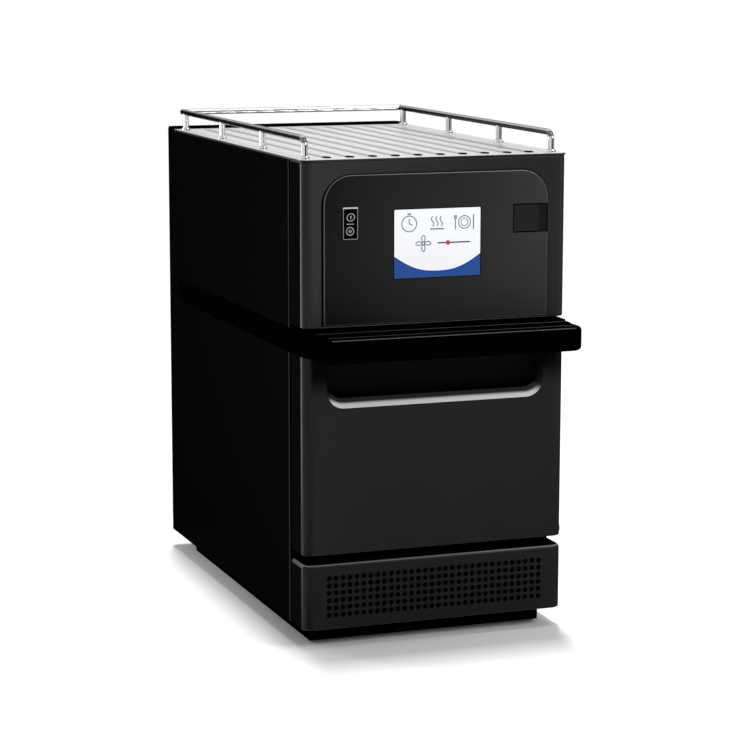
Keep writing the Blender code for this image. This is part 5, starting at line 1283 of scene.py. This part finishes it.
def make_floor():
    half = FLOOR_SIZE / 2
    floor = sheet("floor", [(-half, -half, 0), (half, -half, 0), (half, half, 0), (-half, half, 0)],
                  floor_material())


def make_world():
    """Even light for the object, and a white background for the camera and for reflections."""
    world = bpy.data.worlds.new("studio")
    bpy.context.scene.world = world
    nodes = Nodes(world)
    nodes.tree.nodes.clear()
    ambient, shown = (nodes.node("ShaderNodeBackground", {"Color": (1, 1, 1, 1), "Strength": strength})
                      for strength in (AMBIENT, 1.0))
    seen_by_camera(nodes, ambient, shown, "ShaderNodeOutputWorld")


# Each row: name, where it stands, what it faces, width, height and watts
LAMPS = (
    ("overhead_light", (6, 22, 200), (0, 0, 0), 15, 64, 342000),
    ("front_light", (1.9, -2.6, 2.2), (0, -0.28, 0.35), 0.9, 0.9, 48),
    ("top_light", (0.9, -0.75, 2.4), (0, -0.3, 0.4), 0.5, 0.5, 8),
    ("edge_light", (-0.79, 0.47, 0.40), (-0.17, -0.27, 0.40), 0.26, 0.9, 4.2),
)


def make_lights():
    for name, location, target, width, height, power in LAMPS:
        light = bpy.data.lights.new(name, "AREA")
        light.shape = "RECTANGLE"
        light.size = width
        light.size_y = height
        light.energy = power
        lamp = in_scene(name, light)
        lamp.location = location
        lamp.rotation_euler = (Vector(target) - Vector(location)).to_track_quat("-Z", "Y").to_euler()
        lamp.visible_camera = False
        lamp.visible_glossy = name != "overhead_light"


# Each row: name, outline on the floor, height of a wall (0 for a card that lies down), and glow
CARDS = (
    ("card_front_floor", ((-0.4, -0.30), (-0.4, -5), (6, -5), (2, -0.30)), 0, 0.0),
    ("card_front_wall", ((-0.4, -5), (6, -5)), 3.2, 0.0),
    ("card_left_floor", ((-0.20, -0.28), (-0.20, 3.2), (-1.4, 3.2)), 0, 0.02),
    ("card_back_floor", ((-0.20, 0.36), (0.20, 0.36), (3, 3.2), (-0.20, 3.2)), 0, 0.006),
    ("card_back_wall", ((-1.4, 3.2), (-0.10, 3.2)), 1.5, 0.05),
    ("card_back_low", ((-0.10, 3.2), (4, 3.2)), 0.52, 0.006),
    ("card_right_wall", ((3, -1.0), (3, 3.2)), 1.2, 0.0),
    ("card_right_floor", ((0.22, -0.30), (3, -1.0), (3, 3.2), (0.22, 0.36)), 0, 0.0),
)


def make_cards():
    """Dark cards, seen by reflections only: before the front, behind, and on the right."""
    for name, outline, height, glow in CARDS:
        if height:
            corners = [(x, y, 0) for x, y in outline] + [(x, y, height) for x, y in reversed(outline)]
        else:
            corners = [(x, y, CARD_LEVEL) for x, y in outline]
        black = Paint(name, 0.0, 0.5, specular=0.0)
        black.set("Emission Color", (1, 1, 1, 1))
        black.set("Emission Strength", glow)
        card = sheet(name, corners, black.material)
        card.visible_camera = False
        card.visible_diffuse = False
        card.visible_shadow = False
        card.visible_transmission = False


def make_camera():
    lens = bpy.data.cameras.new("camera")
    lens.sensor_width = CAMERA_SENSOR
    lens.lens = CAMERA_LENS
    lens.clip_end = FLOOR_SIZE
    camera = in_scene("camera", lens)
    camera.location = CAMERA_EYE
    camera.rotation_euler = (radians(90 - CAMERA_ELEVATION), radians(CAMERA_ROLL), radians(CAMERA_AZIMUTH))
    bpy.context.scene.camera = camera


materials = {name: finish(name, *values) for finish, rows in FINISHES.items() for name, values in rows.items()}
dress_nodes()
ease_edges()
make_fascia()
make_panel()
make_door()
make_handle()
make_filter_panel()
make_top_plate()
make_guard_rail()
make_screen_menu()
make_bezel_highlight()
make_rocker()
make_rocker_marks()
make_flap()
make_screws()
make_floor()
make_world()
make_lights()
make_cards()
make_camera()
bpy.context.scene.view_settings.view_transform = "Standard"
